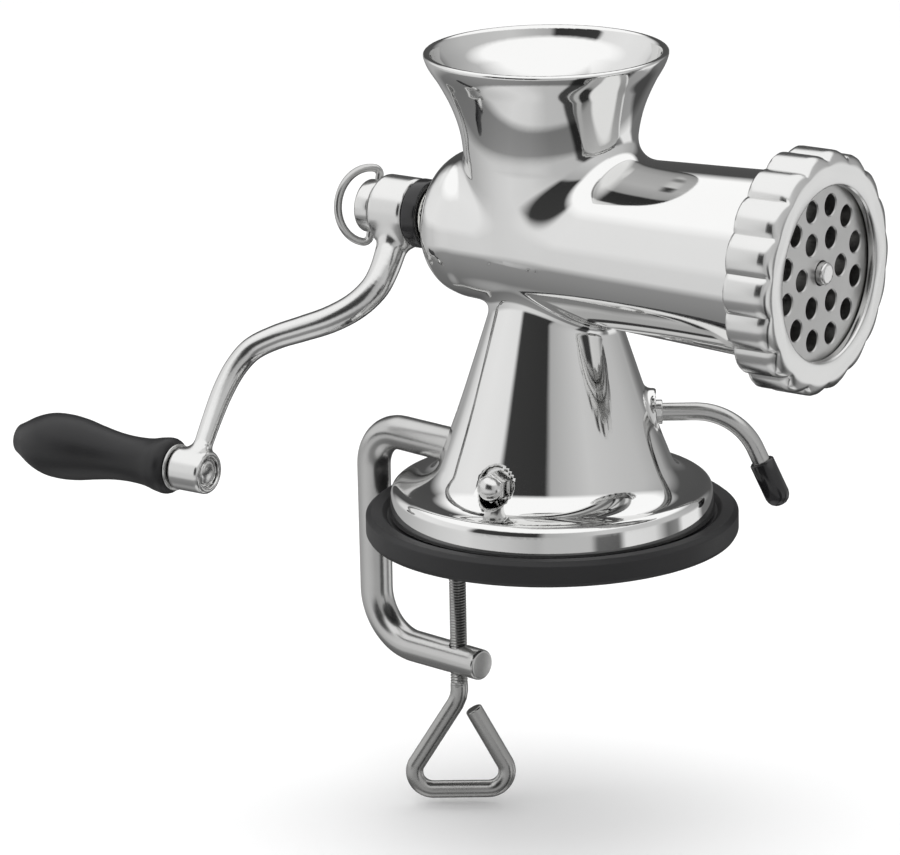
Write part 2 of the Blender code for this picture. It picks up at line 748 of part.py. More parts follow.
def make_grip(plastic, steel):
    """Turning grip on a through bolt, which is peened over in the eye's recess."""
    place = SHAFT + crank_direction() * CRANK_R
    start = EYE_BACK_X - GAP - GRIP_WASHER - GAP
    bore = GRIP_BOLT_R + RUN
    head_in = 1.2
    end = start - GRIP_LENGTH
    outside = [(radius, start - GRIP_LENGTH * share) for share, radius in GRIP_SHAPE]
    turned(
        "grip",
        [(bore, start), *outside, (4.6, end), (4.6, end + head_in), (bore, end + head_in)],
        plastic, along_x(0, place.y, place.z), 32,
    )
    turned(
        "grip_washer", ring_profile(bore, GRIP_WASHER_R, EYE_BACK_X - GAP - GRIP_WASHER, EYE_BACK_X - GAP), steel,
        along_x(0, place.y, place.z), 24,
    )
    turned(
        "grip_bolt",
        [
            (0, end - 1.0), (2.6, end - 0.8), (BOLT_HEAD_R, end + 0.2), (BOLT_HEAD_R, end + head_in - GAP),
            (GRIP_BOLT_R, end + head_in - GAP), (GRIP_BOLT_R, EYE_FRONT_X - EYE_RECESS + GAP),
            (BOLT_HEAD_R, EYE_FRONT_X - EYE_RECESS + GAP), (3.8, EYE_FRONT_X - 0.5), (0, EYE_FRONT_X - 0.2),
        ],
        steel, along_x(0, place.y, place.z), SMALL_SEGMENTS,
    )


def bail_frame():
    """Cross hole's direction, the bail's reach and its pivot."""
    tilt, swing = math.radians(BAIL_TILT), math.radians(BAIL_SWING)
    pin = Vector((0, math.sin(tilt), math.cos(tilt)))
    side = Vector((0, -math.cos(tilt), math.sin(tilt)))
    reach = Vector((-1, 0, 0)) * math.cos(swing) + side * math.sin(swing)
    pivot = SHAFT + Vector((HUB_BACK_X - THUMB_WASHER - 2 * GAP - THUMB_LENGTH / 2, 0, 0))
    return pin, reach, pivot


def make_thumb_screw(steel):
    """Screw that holds the crank on the tang, its washer, and the bail that turns it."""
    face = HUB_BACK_X - GAP
    turned(
        "thumb_washer", ring_profile(THUMB_SHANK_R + RUN, THUMB_R - 0.6, face - THUMB_WASHER, face), steel,
        along_x(), 28,
    )
    head = face - THUMB_WASHER - GAP
    screw = turned(
        "thumb_screw",
        [
            (0, head - THUMB_LENGTH), (THUMB_R - 1, head - THUMB_LENGTH), (THUMB_R, head - THUMB_LENGTH + 1),
            (THUMB_R, head), (THUMB_SHANK_R, head), (THUMB_SHANK_R, head + THUMB_SHANK), (0, head + THUMB_SHANK),
        ],
        steel, along_x(), 32,
    )
    pin, reach, pivot = bail_frame()
    cross = cutter_rod("cross_hole_cut", BAIL_WIRE_R + GAP, pivot - pin * 15, pivot + pin * 15, 16)
    combine(screw, "DIFFERENCE", cross)
    shoulder = BAIL_HALF - BAIL_BEND
    half = [pivot + pin * (THUMB_R - 3.5)]
    half += arc(pivot + reach * BAIL_BEND + pin * shoulder, 180, -90, BAIL_BEND, reach, pin, 4)
    steps = 10
    for k in range(1, steps + 1):
        t = math.radians(90 - 90 * k / steps)
        half.append(pivot + reach * (BAIL_BEND + BAIL_REACH * math.cos(t)) + pin * BAIL_HALF * math.sin(t))
    other = [p - pin * 2 * (p - pivot).dot(pin) for p in half[-2::-1]]
    points = half + other
    bent_rod("thumb_bail", points, [BAIL_WIRE_R] * len(points), steel, 12)


def make_clamp(steel):
    """Bent bar that hooks over the table's edge, and the screw that locks it in the pedestal."""
    forward, up = (clamp_point(1, 0) - clamp_point(0, 0)), Vector((0, 0, 1))
    top = clamp_point(CLAMP_BEND_TOP, CLAMP_Z - CLAMP_BEND_TOP)
    low = clamp_point(CLAMP_BEND_LOW, CLAMP_LOW_Z + CLAMP_BEND_LOW)
    points = [clamp_point(CLAMP_INNER, CLAMP_Z), clamp_point(CLAMP_INNER / 2, CLAMP_Z)]
    points += arc(top, 90, 90, CLAMP_BEND_TOP, forward, up, 7)
    points += arc(low, 180, 90, CLAMP_BEND_LOW, forward, up, 8)
    points += [clamp_point(CLAMP_END, CLAMP_LOW_Z)]
    lengths = [0.0]
    for a, b in zip(points, points[1:]):
        lengths.append(lengths[-1] + (b - a).length)
    straight = lengths[1]
    radii = [
        CLAMP_R + (CLAMP_TIP_R - CLAMP_R) * max(0.0, s - straight) / (lengths[-1] - straight) for s in lengths
    ]
    bracket = bent_rod("clamp_bracket", points, radii, steel, 24)
    screw_hole = cutter_rod(
        "clamp_screw_cut", SCREW_R + RUN, clamp_point(SCREW_OUT, CLAMP_LOW_Z - 15),
        clamp_point(SCREW_OUT, CLAMP_LOW_Z + 15),
    )
    combine(bracket, "DIFFERENCE", screw_hole)

    head, dome = LOCK_HEAD, LOCK_DOME
    place = Matrix.Translation((LOCK_X, -LOCK_SEAT_Y - GAP, CLAMP_Z)) @ Matrix.Rotation(math.radians(90), 4, "X")
    lock = turned("clamp_lock_screw", rod_profile(LOCK_HEX_R, 0, head), steel, place, 6)
    round_tip = turned(
        "lock_dome_form",
        [(0, head - 1), (4.1, head - 1), (4.1, head + 0.6), (3.2, head + dome * 0.7), (1.6, head + dome), (0, head + dome)],
        None, place, SMALL_SEGMENTS,
    )
    shank = turned(
        "lock_shank_form", rod_profile(LOCK_R, lock_reach() - LOCK_SEAT_Y - GAP, 1), None, place, SMALL_SEGMENTS
    )
    combine(lock, "UNION", round_tip, shank)


def make_clamp_screw(steel):
    """Screw bent into a triangular handle, and the swivel cap on its tip."""
    turn = math.radians(HANDLE_TURN)
    across, up = Vector((math.cos(turn), math.sin(turn), 0)), Vector((0, 0, 1))
    centre = clamp_point(SCREW_OUT, 0)
    tip_z = CAP_TOP_Z - CAP_THICK - GAP
    bottom = HANDLE_LOW_Z
    slope = math.atan2(HANDLE_HALF - 1.0, HANDLE_TOP_Z - bottom - 2)
    lean = math.degrees(slope)
    half = HANDLE_HALF - HANDLE_BEND * math.cos(slope)
    corner_z = bottom + HANDLE_BEND
    left = centre + across * -half + up * corner_z
    right = centre + across * half + up * corner_z
    points = [centre + up * tip_z, centre + up * (HANDLE_TOP_Z + 3), centre + up * HANDLE_TOP_Z]
    points += [centre - across * 1.2 + up * (HANDLE_TOP_Z - 3)]
    points += arc(left, 180 - lean, 90 + lean, HANDLE_BEND, across, up, 6)
    points += arc(right, 270, 90 + lean, HANDLE_BEND, across, up, 6)
    points += [centre + across * 4.6 + up * (HANDLE_TOP_Z - 5.5)]
    bent_rod("clamp_screw", points, [SCREW_R] * len(points), steel, 16)
    neck = CAP_TOP_Z - CAP_THICK
    turned(
        "pressure_cap",
        [
            (0, CAP_TOP_Z), (CAP_R - 0.8, CAP_TOP_Z), (CAP_R, CAP_TOP_Z - 0.8), (CAP_R, neck),
            (SCREW_R + 2.2, neck), (SCREW_R + 2.2, neck - CAP_NECK), (SCREW_R + RUN, neck - CAP_NECK),
            (SCREW_R + RUN, neck), (0, neck),
        ],
        steel, Matrix.Translation(clamp_point(SCREW_OUT, 0)), 28,
    )


def make_pad(rubber, steel):
    """Rubber pad around the base, its moving middle, and the stem that pulls it up."""
    turned(
        "suction_pad",
        [
            (PAD_CENTRE_R + GAP, 0), (PAD_R - 1, 0), (PAD_R, 1), (PAD_R, PAD_RIM - 1), (PAD_R - 1.2, PAD_RIM),
            (BASE_R + 1.8, PAD_RIM - 0.4), (BASE_R + 0.5, BASE_Z - GAP), (PAD_CENTRE_R + GAP, BASE_Z - GAP),
        ],
        rubber, None, 64,
    )
    turned("pad_centre", rod_profile(PAD_CENTRE_R, 0, PAD_CENTRE_THICK), rubber, None, 32)
    flange = PAD_CENTRE_THICK + GAP
    turned(
        "pad_stem",
        [
            (0, flange), (STEM_FLANGE_R, flange), (STEM_FLANGE_R, flange + 2.4), (STEM_R + 1.5, flange + 3.2),
            (STEM_R, flange + 5), (STEM_R, stem_top()), (0, stem_top()),
        ],
        steel, None, 28,
    )


def make_lever(steel, rubber):
    """Lever rod with a cranked throw, the follower it lifts, its bush, clip and tip."""
    out, side = lever_directions()
    up = Vector((0, 0, 1))
    axis = up * LEVER_Z
    far_end = 2.8 - pedestal_radius(LEVER_Z)
    bend = axis + out * LEVER_BEND_U - up * LEVER_BEND_R
    points = [lever_point(THROW_HALF), lever_point(30)]
    points += arc(bend, 90, -LEVER_DROP, LEVER_BEND_R, out, up, 8)
    drop = math.radians(LEVER_DROP)
    heading = out * math.cos(drop) - up * math.sin(drop)
    cap_inside = TIP_LENGTH - 2
    tip_start = points[-1] + heading * (LEVER_STRAIGHT - cap_inside)
    points.append(points[-1] + heading * LEVER_STRAIGHT)
    lever = bent_rod("suction_lever", points, [LEVER_R] * len(points), steel, 16)
    lowered = up * LEVER_THROW
    throw = cutter_rod(
        "throw_form", THROW_R, lever_point(-THROW_HALF - 1.6) - lowered, lever_point(THROW_HALF + 1.6) - lowered, 16
    )
    tail = cutter_rod("tail_form", LEVER_R, lever_point(-THROW_HALF), lever_point(far_end), 16)
    combine(lever, "UNION", throw, tail)

    slot_z = LEVER_Z - LEVER_THROW
    slot_half = THROW_R + FOLLOWER_PLAY
    slot_width = 2 * THROW_R + LEVER_THROW + 1.2
    turn = Matrix.Rotation(math.radians(LEVER_ANGLE), 4, "Z")
    middle = Matrix.Translation(up * slot_z + side * LEVER_THROW / 2) @ turn
    height = 2 * (slot_half + FOLLOWER_WALL)
    follower = block(
        "cam_follower", (FOLLOWER_THICK, slot_width + 2 * FOLLOWER_WALL, height), steel, middle
    )
    slot = block("slot_cut", (2 * FOLLOWER_THICK, slot_width, 2 * slot_half), None, middle)
    socket = cutter_rod("socket_cut", STEM_R + 0.1, up * (slot_z - height), up * (stem_top() + GAP))
    combine(follower, "DIFFERENCE", slot, socket)

    nose = pedestal_radius(LEVER_Z) + PEDESTAL_X + 1.2
    across = (out).to_track_quat("Z", "Y").to_matrix().to_4x4()
    across.translation = axis
    back = LEVER_BOSS_U + 0.5
    bush_r = lever_hole_radius() - RUN
    turned(
        "lever_bush",
        [
            (LEVER_R + RUN, back), (bush_r, back), (bush_r, nose - 1.6), (LEVER_R + 1.1, nose - 1.4),
            (LEVER_R + 1.1, nose + 1.4), (LEVER_R + RUN, nose + 1.4),
        ],
        steel, across, 24,
    )
    turned("lever_clip", ring_profile(LEVER_R + 0.1, LEVER_R + 2.2, back - 1.6, back - 0.6), steel, across, 20)

    tip_place = heading.to_track_quat("Z", "Y").to_matrix().to_4x4()
    tip_place.translation = tip_start
    inside = cap_inside + GAP
    turned(
        "lever_tip",
        [
            (LEVER_R + 0.1, 0), (TIP_R, 0), (TIP_R, TIP_LENGTH - 2), (TIP_R - 2, TIP_LENGTH + 0.6),
            (0, TIP_LENGTH + 0.6), (0, inside), (LEVER_R + 0.1, inside),
        ],
        rubber, tip_place, 24,
    )


def main():
    clear_scene()
    steel = material("polished_steel", (0.80, 0.80, 0.79), 0.12, 1.0)
    plate_steel = material("plate_steel", (0.72, 0.72, 0.71), 0.28, 1.0)
    rod_steel = material("rod_steel", (0.68, 0.68, 0.68), 0.22, 1.0)
    nylon = material("nylon", (0.88, 0.88, 0.85), 0.45, 0.0)
    black_plastic = material("black_plastic", (0.035, 0.035, 0.037), 0.42, 0.0)
    rubber = material("rubber", (0.045, 0.045, 0.047), 0.6, 0.0)
    make_body(steel)
    make_bearing(nylon, black_plastic)
    make_auger(steel)
    make_knife(plate_steel)
    make_plate(plate_steel)
    make_ring_nut(steel)
    make_crank(steel)
    make_grip(black_plastic, rod_steel)
    make_thumb_screw(steel)
    make_clamp(rod_steel)
    make_clamp_screw(rod_steel)
    make_pad(rubber, rod_steel)
    make_lever(rod_steel, rubber)


main()
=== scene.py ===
# %% [markdown]
# # Hand crank meat grinder
# A polished stainless casting holds an auger. Meat goes in at the top, the auger pushes it along the
# barrel, and a knife and a perforated plate cut it. The grinder stands on a suction pad and a bent bar
# clamps it to a table. We build every visible piece again, finer than the CAD, on the CAD's own frame.

# %% Frame
import math
from functools import partial

import bpy
import numpy as np
from mathutils import Matrix, Vector


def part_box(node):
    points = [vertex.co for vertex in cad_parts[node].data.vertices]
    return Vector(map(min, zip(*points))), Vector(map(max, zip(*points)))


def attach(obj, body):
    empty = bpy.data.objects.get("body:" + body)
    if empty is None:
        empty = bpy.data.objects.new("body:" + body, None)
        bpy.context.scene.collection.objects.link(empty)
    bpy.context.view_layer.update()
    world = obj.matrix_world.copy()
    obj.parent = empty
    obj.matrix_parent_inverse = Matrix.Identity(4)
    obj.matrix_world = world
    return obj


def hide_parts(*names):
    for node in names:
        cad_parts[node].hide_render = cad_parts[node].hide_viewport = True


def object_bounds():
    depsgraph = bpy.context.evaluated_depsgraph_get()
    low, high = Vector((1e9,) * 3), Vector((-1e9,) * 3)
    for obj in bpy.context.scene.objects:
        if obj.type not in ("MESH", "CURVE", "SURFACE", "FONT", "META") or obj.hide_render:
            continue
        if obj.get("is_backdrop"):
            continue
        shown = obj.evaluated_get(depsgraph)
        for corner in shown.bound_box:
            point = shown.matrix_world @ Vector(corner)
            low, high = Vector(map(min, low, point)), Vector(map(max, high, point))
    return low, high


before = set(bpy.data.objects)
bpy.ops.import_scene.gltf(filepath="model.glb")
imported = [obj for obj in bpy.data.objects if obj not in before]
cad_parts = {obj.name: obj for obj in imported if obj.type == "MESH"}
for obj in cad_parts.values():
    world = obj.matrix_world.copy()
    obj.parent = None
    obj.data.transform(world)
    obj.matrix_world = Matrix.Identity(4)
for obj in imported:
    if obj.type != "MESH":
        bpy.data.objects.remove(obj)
cad_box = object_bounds()
MM = 0.001
scene = bpy.context.scene

# %% [markdown]
# ## Sizes
# All lengths below are in millimetres in the CAD's own frame: +Z is up, +X runs from the crank to the
# mouth, and the origin is the middle of the pad's underside. Where a size exists in the frame we read
# it from there, so a later change in the CAD carries over.

# %% Sizes from the frame
def span(node):
    """Lowest and highest corner of a CAD node, in millimetres."""
    low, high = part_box(node)
    return [c / MM for c in low], [c / MM for c in high]


body_low, body_high = span("body_casting")
nut_low, nut_high = span("ring_nut")
plate_low, plate_high = span("grinding_plate")
grip_low, grip_high = span("grip")
washer_low, washer_high = span("thrust_washer")

SHAFT_Z = (nut_low[2] + nut_high[2]) / 2
RIM_Z = body_high[2]
BASE_Z = body_low[2]
BASE_THICK, CRANK_R = 10.3, 102
BASE_TOP = BASE_Z + BASE_THICK
MOUTH_END = body_high[0]
NUT_BACK, NUT_FRONT = nut_low[0], nut_high[0]
PLATE_BACK, PLATE_FRONT = plate_low[0], plate_high[0]
HUB_FRONT, HUB_BACK = -52.0, -66.0
CRANK_TURN = math.radians(35)
DOWN = Vector((0, -math.sin(CRANK_TURN), -math.cos(CRANK_TURN)))
SHAFT = Vector((0, 0, SHAFT_Z))
EYE = SHAFT + DOWN * CRANK_R
print("shaft at", round(SHAFT_Z, 2), "rim at", round(RIM_Z, 2))

# %% [markdown]
# ## Helpers for modelling
# Most pieces are turned on a lathe, bent from wire, or drilled. Each of these is one helper, which
# uses the tools that a person would use in edit mode. Corners get a small round, because a polished
# edge always has one, and it is that round which catches the light.

# %% Selecting and finishing
def only_none():
    """Leaves edit mode and selects nothing."""
    if bpy.context.object and bpy.context.object.mode != "OBJECT":
        bpy.ops.object.mode_set(mode="OBJECT")
    bpy.ops.object.select_all(action="DESELECT")


def only(piece):
    """Selects this object alone and makes it active."""
    only_none()
    piece.select_set(True)
    bpy.context.view_layer.objects.active = piece


def apply_all(piece):
    """Applies every modifier and then the object's own place, turn and scale."""
    only(piece)
    for step in list(piece.modifiers):
        bpy.ops.object.modifier_apply(modifier=step.name)
    bpy.ops.object.transform_apply(location=True, rotation=True, scale=True)
    return piece


def clean(piece, angle=35):
    """Merges doubles, turns the faces outwards and shades the piece smooth up to an angle."""
    only(piece)
    bpy.ops.object.mode_set(mode="EDIT")
    bpy.ops.mesh.select_all(action="SELECT")
    bpy.ops.mesh.remove_doubles(threshold=1e-6)
    bpy.ops.mesh.normals_make_consistent(inside=False)
    bpy.ops.object.mode_set(mode="OBJECT")
    bpy.ops.object.shade_smooth_by_angle(angle=math.radians(angle))
    return piece


def rounded(corners, default=0.4, steps=4):
    """Points of a closed outline whose corners (x, y) or (x, y, radius) are rounded by arcs."""
    points = []
    count = len(corners)
    for k, corner in enumerate(corners):
        here = Vector(corner[:2])
        before = Vector(corners[k - 1][:2]) - here
        after = Vector(corners[(k + 1) % count][:2]) - here
        radius = corner[2] if len(corner) > 2 else default
        if radius == 0 or before.length < 1e-6 or after.length < 1e-6:
            points.append(tuple(here))
            continue
        half = before.angle(after) / 2
        reach = min(radius / math.tan(half), 0.49 * before.length, 0.49 * after.length)
        start, end = here + before.normalized() * reach, here + after.normalized() * reach
        for n in range(steps + 1):
            t = n / steps
            a, b = start.lerp(here, t), here.lerp(end, t)
            points.append(tuple(a.lerp(b, t)))
    return points


def axis_turn(direction):
    """A turn that lays local +Z along a direction."""
    return Vector(direction).to_track_quat("Z", "Y").to_matrix().to_4x4()


def lathe(name, outline, direction=(0, 0, 1), middle=(0, 0, 0), steps=96, angle=35):
    """Spins a closed outline of (radius, height) about an axis through middle, as on a lathe."""
    mesh = bpy.data.meshes.new(name)
    points = [(r * MM, 0, z * MM) for r, z in outline]
    edges = [(k, (k + 1) % len(points)) for k in range(len(points))]
    mesh.from_pydata(points, edges, [])
    piece = bpy.data.objects.new(name, mesh)
    scene.collection.objects.link(piece)
    only(piece)
    bpy.ops.object.mode_set(mode="EDIT")
    bpy.ops.mesh.select_all(action="SELECT")
    bpy.ops.mesh.spin(steps=steps, angle=2 * math.pi, center=(0, 0, 0), axis=(0, 0, 1))
    bpy.ops.mesh.select_all(action="SELECT")
    bpy.ops.mesh.remove_doubles(threshold=1e-6)
    bpy.ops.mesh.dissolve_degenerate(threshold=1e-7)
    bpy.ops.object.mode_set(mode="OBJECT")
    place = axis_turn(direction)
    place.translation = Vector(middle) * MM
    piece.matrix_world = place
    apply_all(piece)
    return clean(piece, angle)


def combine(piece, others, operation):
    """Cuts other closed pieces out of this one, or joins them to it, and takes them away."""
    for other in others:
        step = piece.modifiers.new("combine", "BOOLEAN")
        step.operation, step.solver, step.object = operation, "EXACT", other
    apply_all(piece)
    for other in others:
        bpy.data.objects.remove(other)
    return piece


def drill(piece, tool):
    return combine(piece, [tool], "DIFFERENCE")


def rod(name, radius, start, end, sides=48):
    """A plain round bar from start to end, used as a drill or a blank."""
    start, end = Vector(start) * MM, Vector(end) * MM
    only_none()
    bpy.ops.mesh.primitive_cylinder_add(
        vertices=sides, radius=radius * MM, depth=(end - start).length, location=(start + end) / 2,
        rotation=(end - start).to_track_quat("Z", "Y").to_euler(),
    )
    made = bpy.context.object
    made.name = name
    return apply_all(made)


def soften(piece, width, segments=3, angle=30):
    """Rounds the sharp edges of a piece with a bevel."""
    edge = piece.modifiers.new("edge", "BEVEL")
    edge.width, edge.segments, edge.limit_method = width * MM, segments, "ANGLE"
    edge.angle_limit = math.radians(angle)
    edge.use_clamp_overlap = True
    apply_all(piece)
    return clean(piece, 40)


def washer_outline(inner, outer, low, high, corner):
    """The outline of a flat ring with rounded edges."""
    return rounded([(inner, low), (outer, low), (outer, high), (inner, high)], corner)


def bow(middle, start, turn, radius, across, along, steps):
    """Points of an arc in the plane of across and along; angles in degrees from across."""
    for k in range(steps + 1):
        t = math.radians(start + turn * k / steps)
        yield Vector(middle) + across * radius * math.cos(t) + along * radius * math.sin(t)


def round_end(tip, inward, radius, cap, rounds=5):
    """Places and radii that round the end of a bar, from its tip inwards."""
    for k in range(rounds + 1):
        a = math.pi / 2 * k / rounds
        yield tip + inward * cap * (1 - math.cos(a)), radius - cap * (1 - math.sin(a))


def wire(name, points, radii, sides=28, cap=0.6):
    """A bent round bar with rounded ends: a curve with depth, made a mesh."""
    curve = bpy.data.curves.new(name, "CURVE")
    curve.dimensions = "3D"
    curve.bevel_depth = MM
    curve.bevel_resolution = sides // 4 - 2
    curve.use_fill_caps = True
    if isinstance(radii, (int, float)):
        radii = [radii] * len(points)
    points, radii = [Vector(p) for p in points], list(radii)
    first, last = (points[1] - points[0]).normalized(), (points[-2] - points[-1]).normalized()
    head = list(round_end(points[0], first, radii[0], cap))
    tail = list(round_end(points[-1], last, radii[-1], cap))
    course = head + list(zip(points[1:-1], radii[1:-1])) + tail[::-1]
    spline = curve.splines.new("POLY")
    spline.points.add(len(course) - 1)
    for point, (place, radius) in zip(spline.points, course):
        point.co = (*(place * MM), 1)
        point.radius = radius
    guide = bpy.data.objects.new(name, curve)
    scene.collection.objects.link(guide)
    only(guide)
    bpy.ops.object.convert(target="MESH")
    made = bpy.context.object
    made.name = name
    return clean(made, 50)


def fit(piece, body, finish, *nodes):
    """Gives a finished piece its material, its body and the CAD nodes that it stands for."""
    piece.data.materials.clear()
    piece.data.materials.append(finish)
    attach(piece, body)
    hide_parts(*nodes)
    print(piece.name, len(piece.data.polygons), "faces")
    return piece

# %% [markdown]
# ## Finishes
# Most of the grinder is metal, so what tells the pieces apart is how each was finished: mirror
# polished casting, satin ring nut, ground plate, bright drawn bar. One node group makes the small
# unevenness that every finish has, so it isn't repeated in each. It reads the piece's own coordinates, so
# the marks stay on the piece when it moves.

# %% A node group for worn finishes
def new_group(name, inputs, outputs):
    """An empty shader node group with named float or colour sockets."""
    group = bpy.data.node_groups.new(name, "ShaderNodeTree")
    for label, kind, value in inputs:
        socket = group.interface.new_socket(label, in_out="INPUT", socket_type=kind)
        socket.default_value = value
    for label, kind in outputs:
        group.interface.new_socket(label, in_out="OUTPUT", socket_type=kind)
    return group, group.nodes.new("NodeGroupInput"), group.nodes.new("NodeGroupOutput")


def put(tree, kind, **settings):
    """A node with its properties, or its inputs where the name is one, set."""
    node = tree.nodes.new(kind)
    for key, value in settings.items():
        if key.startswith("in_"):
            node.inputs[key[3:].replace("_", " ")].default_value = value
        else:
            setattr(node, key, value)
    return node


def maths(tree, operation, a, b):
    """A math node on two sockets or numbers, as its output socket."""
    node = put(tree, "ShaderNodeMath", operation=operation)
    for slot, value in enumerate((a, b)):
        if isinstance(value, (int, float)):
            node.inputs[slot].default_value = value
        else:
            tree.links.new(value, node.inputs[slot])
    return node.outputs[0]


def noise(tree, coords, scale, detail=2.0, roughness=0.5, stretch=(1, 1, 1)):
    """Noise between 0 and 1 on coords, with a stretch of its pattern."""
    mapping = put(tree, "ShaderNodeMapping")
    mapping.inputs["Scale"].default_value = stretch
    tree.links.new(coords, mapping.inputs["Vector"])
    made = put(tree, "ShaderNodeTexNoise", in_Scale=scale, in_Detail=detail, in_Roughness=roughness)
    tree.links.new(mapping.outputs["Vector"], made.inputs["Vector"])
    return made.outputs["Fac"]


FLOAT, COLOUR = "NodeSocketFloat", "NodeSocketColor"
finish_group, g_in, g_out = new_group(
    "finish",
    [("Colour", COLOUR, (0.8, 0.8, 0.8, 1)), ("Roughness", FLOAT, 0.1), ("Smudge", FLOAT, 0.05),
     ("Wave", FLOAT, 0.2), ("Grain", FLOAT, 0.1), ("Tint", FLOAT, 0.1)],
    [("Colour", COLOUR), ("Roughness", FLOAT), ("Height", FLOAT)],
)
place = put(finish_group, "ShaderNodeTexCoord").outputs["Object"]
smudge = noise(finish_group, place, 42, 5, 0.62)
wave = noise(finish_group, place, 26, 1.5, 0.4)
grain = noise(finish_group, place, 2600, 2, 0.6)
hairs = noise(finish_group, place, 900, 3, 0.7, (0.06, 1, 1))
calc = partial(maths, finish_group)
marks = calc("ADD", calc("MULTIPLY", grain, 0.5), calc("MULTIPLY", hairs, 0.5))
extra = calc("MULTIPLY", calc("SUBTRACT", smudge, 0.5), g_in.outputs["Smudge"])
fine = calc("MULTIPLY", calc("SUBTRACT", marks, 0.5), g_in.outputs["Smudge"])
total = calc("ADD", calc("ADD", g_in.outputs["Roughness"], extra), fine)
finish_group.links.new(calc("MAXIMUM", total, 0.02), g_out.inputs["Roughness"])
waves = calc("MULTIPLY", wave, g_in.outputs["Wave"])
height = calc("ADD", waves, calc("MULTIPLY", marks, g_in.outputs["Grain"]))
finish_group.links.new(height, g_out.inputs["Height"])
darker = put(finish_group, "ShaderNodeMix", data_type="RGBA", blend_type="MULTIPLY")
amount = calc("MULTIPLY", smudge, g_in.outputs["Tint"])
finish_group.links.new(amount, darker.inputs[0])
finish_group.links.new(g_in.outputs["Colour"], darker.inputs[6])
darker.inputs[7].default_value = (0.55, 0.53, 0.50, 1)
finish_group.links.new(darker.outputs[2], g_out.inputs["Colour"])
print("finish group with", len(finish_group.nodes), "nodes")

# %% [markdown]
# A material places the group with its own values and feeds it to a Principled shader. Metalness and
# index of refraction are the same all over, so they are set on the shader itself.

# %% Materials
def material(name, colour, roughness, smudge=0.05, wave=0.0, grain=0.0, tint=0.1, depth=0.1, **fixed):
    """A Principled material whose colour, roughness and height come from the finish group."""
    made = bpy.data.materials.new(name)
    made.use_nodes = True
    tree = made.node_tree
    shader = tree.nodes["Principled BSDF"]
    look = put(tree, "ShaderNodeGroup", node_tree=finish_group)
    look.inputs["Colour"].default_value = (*colour, 1)
    for label, value in (("Roughness", roughness), ("Smudge", smudge), ("Wave", wave), ("Grain", grain),
                         ("Tint", tint)):
        look.inputs[label].default_value = value
    bump = put(tree, "ShaderNodeBump", in_Strength=1.0, in_Distance=depth * MM)
    tree.links.new(look.outputs["Colour"], shader.inputs["Base Color"])
    tree.links.new(look.outputs["Roughness"], shader.inputs["Roughness"])
    tree.links.new(look.outputs["Height"], bump.inputs["Height"])
    tree.links.new(bump.outputs["Normal"], shader.inputs["Normal"])
    for label, value in fixed.items():
        shader.inputs[label.replace("_", " ")].default_value = value
    made.diffuse_color = (*colour, 1)
    return made


mirror = material("mirror_steel", (0.76, 0.76, 0.755), 0.05, 0.03, 0.55, 0.01, 0.06, 0.25, Metallic=1.0)
satin = material("satin_steel", (0.70, 0.70, 0.695), 0.19, 0.08, 0.2, 0.25, 0.08, 0.05, Metallic=1.0)
ground = material("ground_steel", (0.50, 0.50, 0.495), 0.32, 0.12, 0.1, 0.8, 0.15, 0.05, Metallic=1.0)
bright_rod = material("drawn_bar", (0.55, 0.55, 0.545), 0.24, 0.10, 0.5, 0.2, 0.15, 0.10, Metallic=1.0)
tin = material("tinned_iron", (0.42, 0.42, 0.415), 0.24, 0.16, 0.6, 0.4, 0.25, 0.10, Metallic=1.0)
DULL = {"Specular_IOR_Level": 0.4}
rubber = material("black_rubber", (0.014, 0.014, 0.015), 0.50, 0.18, 0.2, 1.0, 0.3, 0.06, **DULL)
grip_plastic = material("grip_plastic", (0.009, 0.009, 0.010), 0.40, 0.16, 0.3, 1.0, 0.3, 0.08, **DULL)
gloss_black = material("gloss_black", (0.012, 0.012, 0.013), 0.14, 0.06, 0.2, 0.1, 0.2, 0.05)
nylon = material("white_nylon", (0.80, 0.80, 0.76), 0.45, 0.12, 0.1, 0.6, 0.1, 0.05)
print("materials", len(bpy.data.materials))

# %% [markdown]
# ## The casting
# Hopper, barrel, pedestal and base are one casting, and where they meet, the metal runs together in
# soft fillets. Mirror polish shows the smallest fault in a surface, so cutting and bevelling a mesh
# isn't good enough here. Instead each form is a formula that says how far a point is from it: below 0
# inside, above 0 outside. A soft minimum of two such distances joins two forms with a fillet, and a
# soft maximum cuts one out of the other and rounds the edge. The CAD's casting is only the blank: we
# remesh it evenly and then slide every point onto the formula's surface.

# %% Distances
def soft_min(a, b, blend):
    """The smaller of two distances, run together over a blend width."""
    near = np.maximum(blend - np.abs(a - b), 0) / blend
    return np.minimum(a, b) - near * near * blend / 4


def soft_max(a, b, blend):
    """The larger of two distances, run together over a blend width."""
    return -soft_min(-a, -b, blend)


def smooth_curve(stations, values, count=400):
    """A smooth curve through a few values, as arrays for np.interp."""
    s, v = np.array(stations, float), np.array(values, float)
    slope = np.gradient(v, s)
    fine = np.linspace(s[0], s[-1], count)
    k = np.clip(np.searchsorted(s, fine) - 1, 0, len(s) - 2)
    step = s[k + 1] - s[k]
    t = (fine - s[k]) / step
    out = (
        (2 * t**3 - 3 * t**2 + 1) * v[k] + (t**3 - 2 * t**2 + t) * step * slope[k]
        + (3 * t**2 - 2 * t**3) * v[k + 1] + (t**3 - t**2) * step * slope[k + 1]
    )
    return fine, out


def turned_distance(along, radius, curve):
    """Signed distance, near enough, from a round form whose radius follows a curve along its axis."""
    stations, radii = curve
    here = np.interp(along, stations, radii)
    slope = np.interp(along, stations, np.gradient(radii, stations))
    return (radius - here) / np.sqrt(1 + slope * slope)


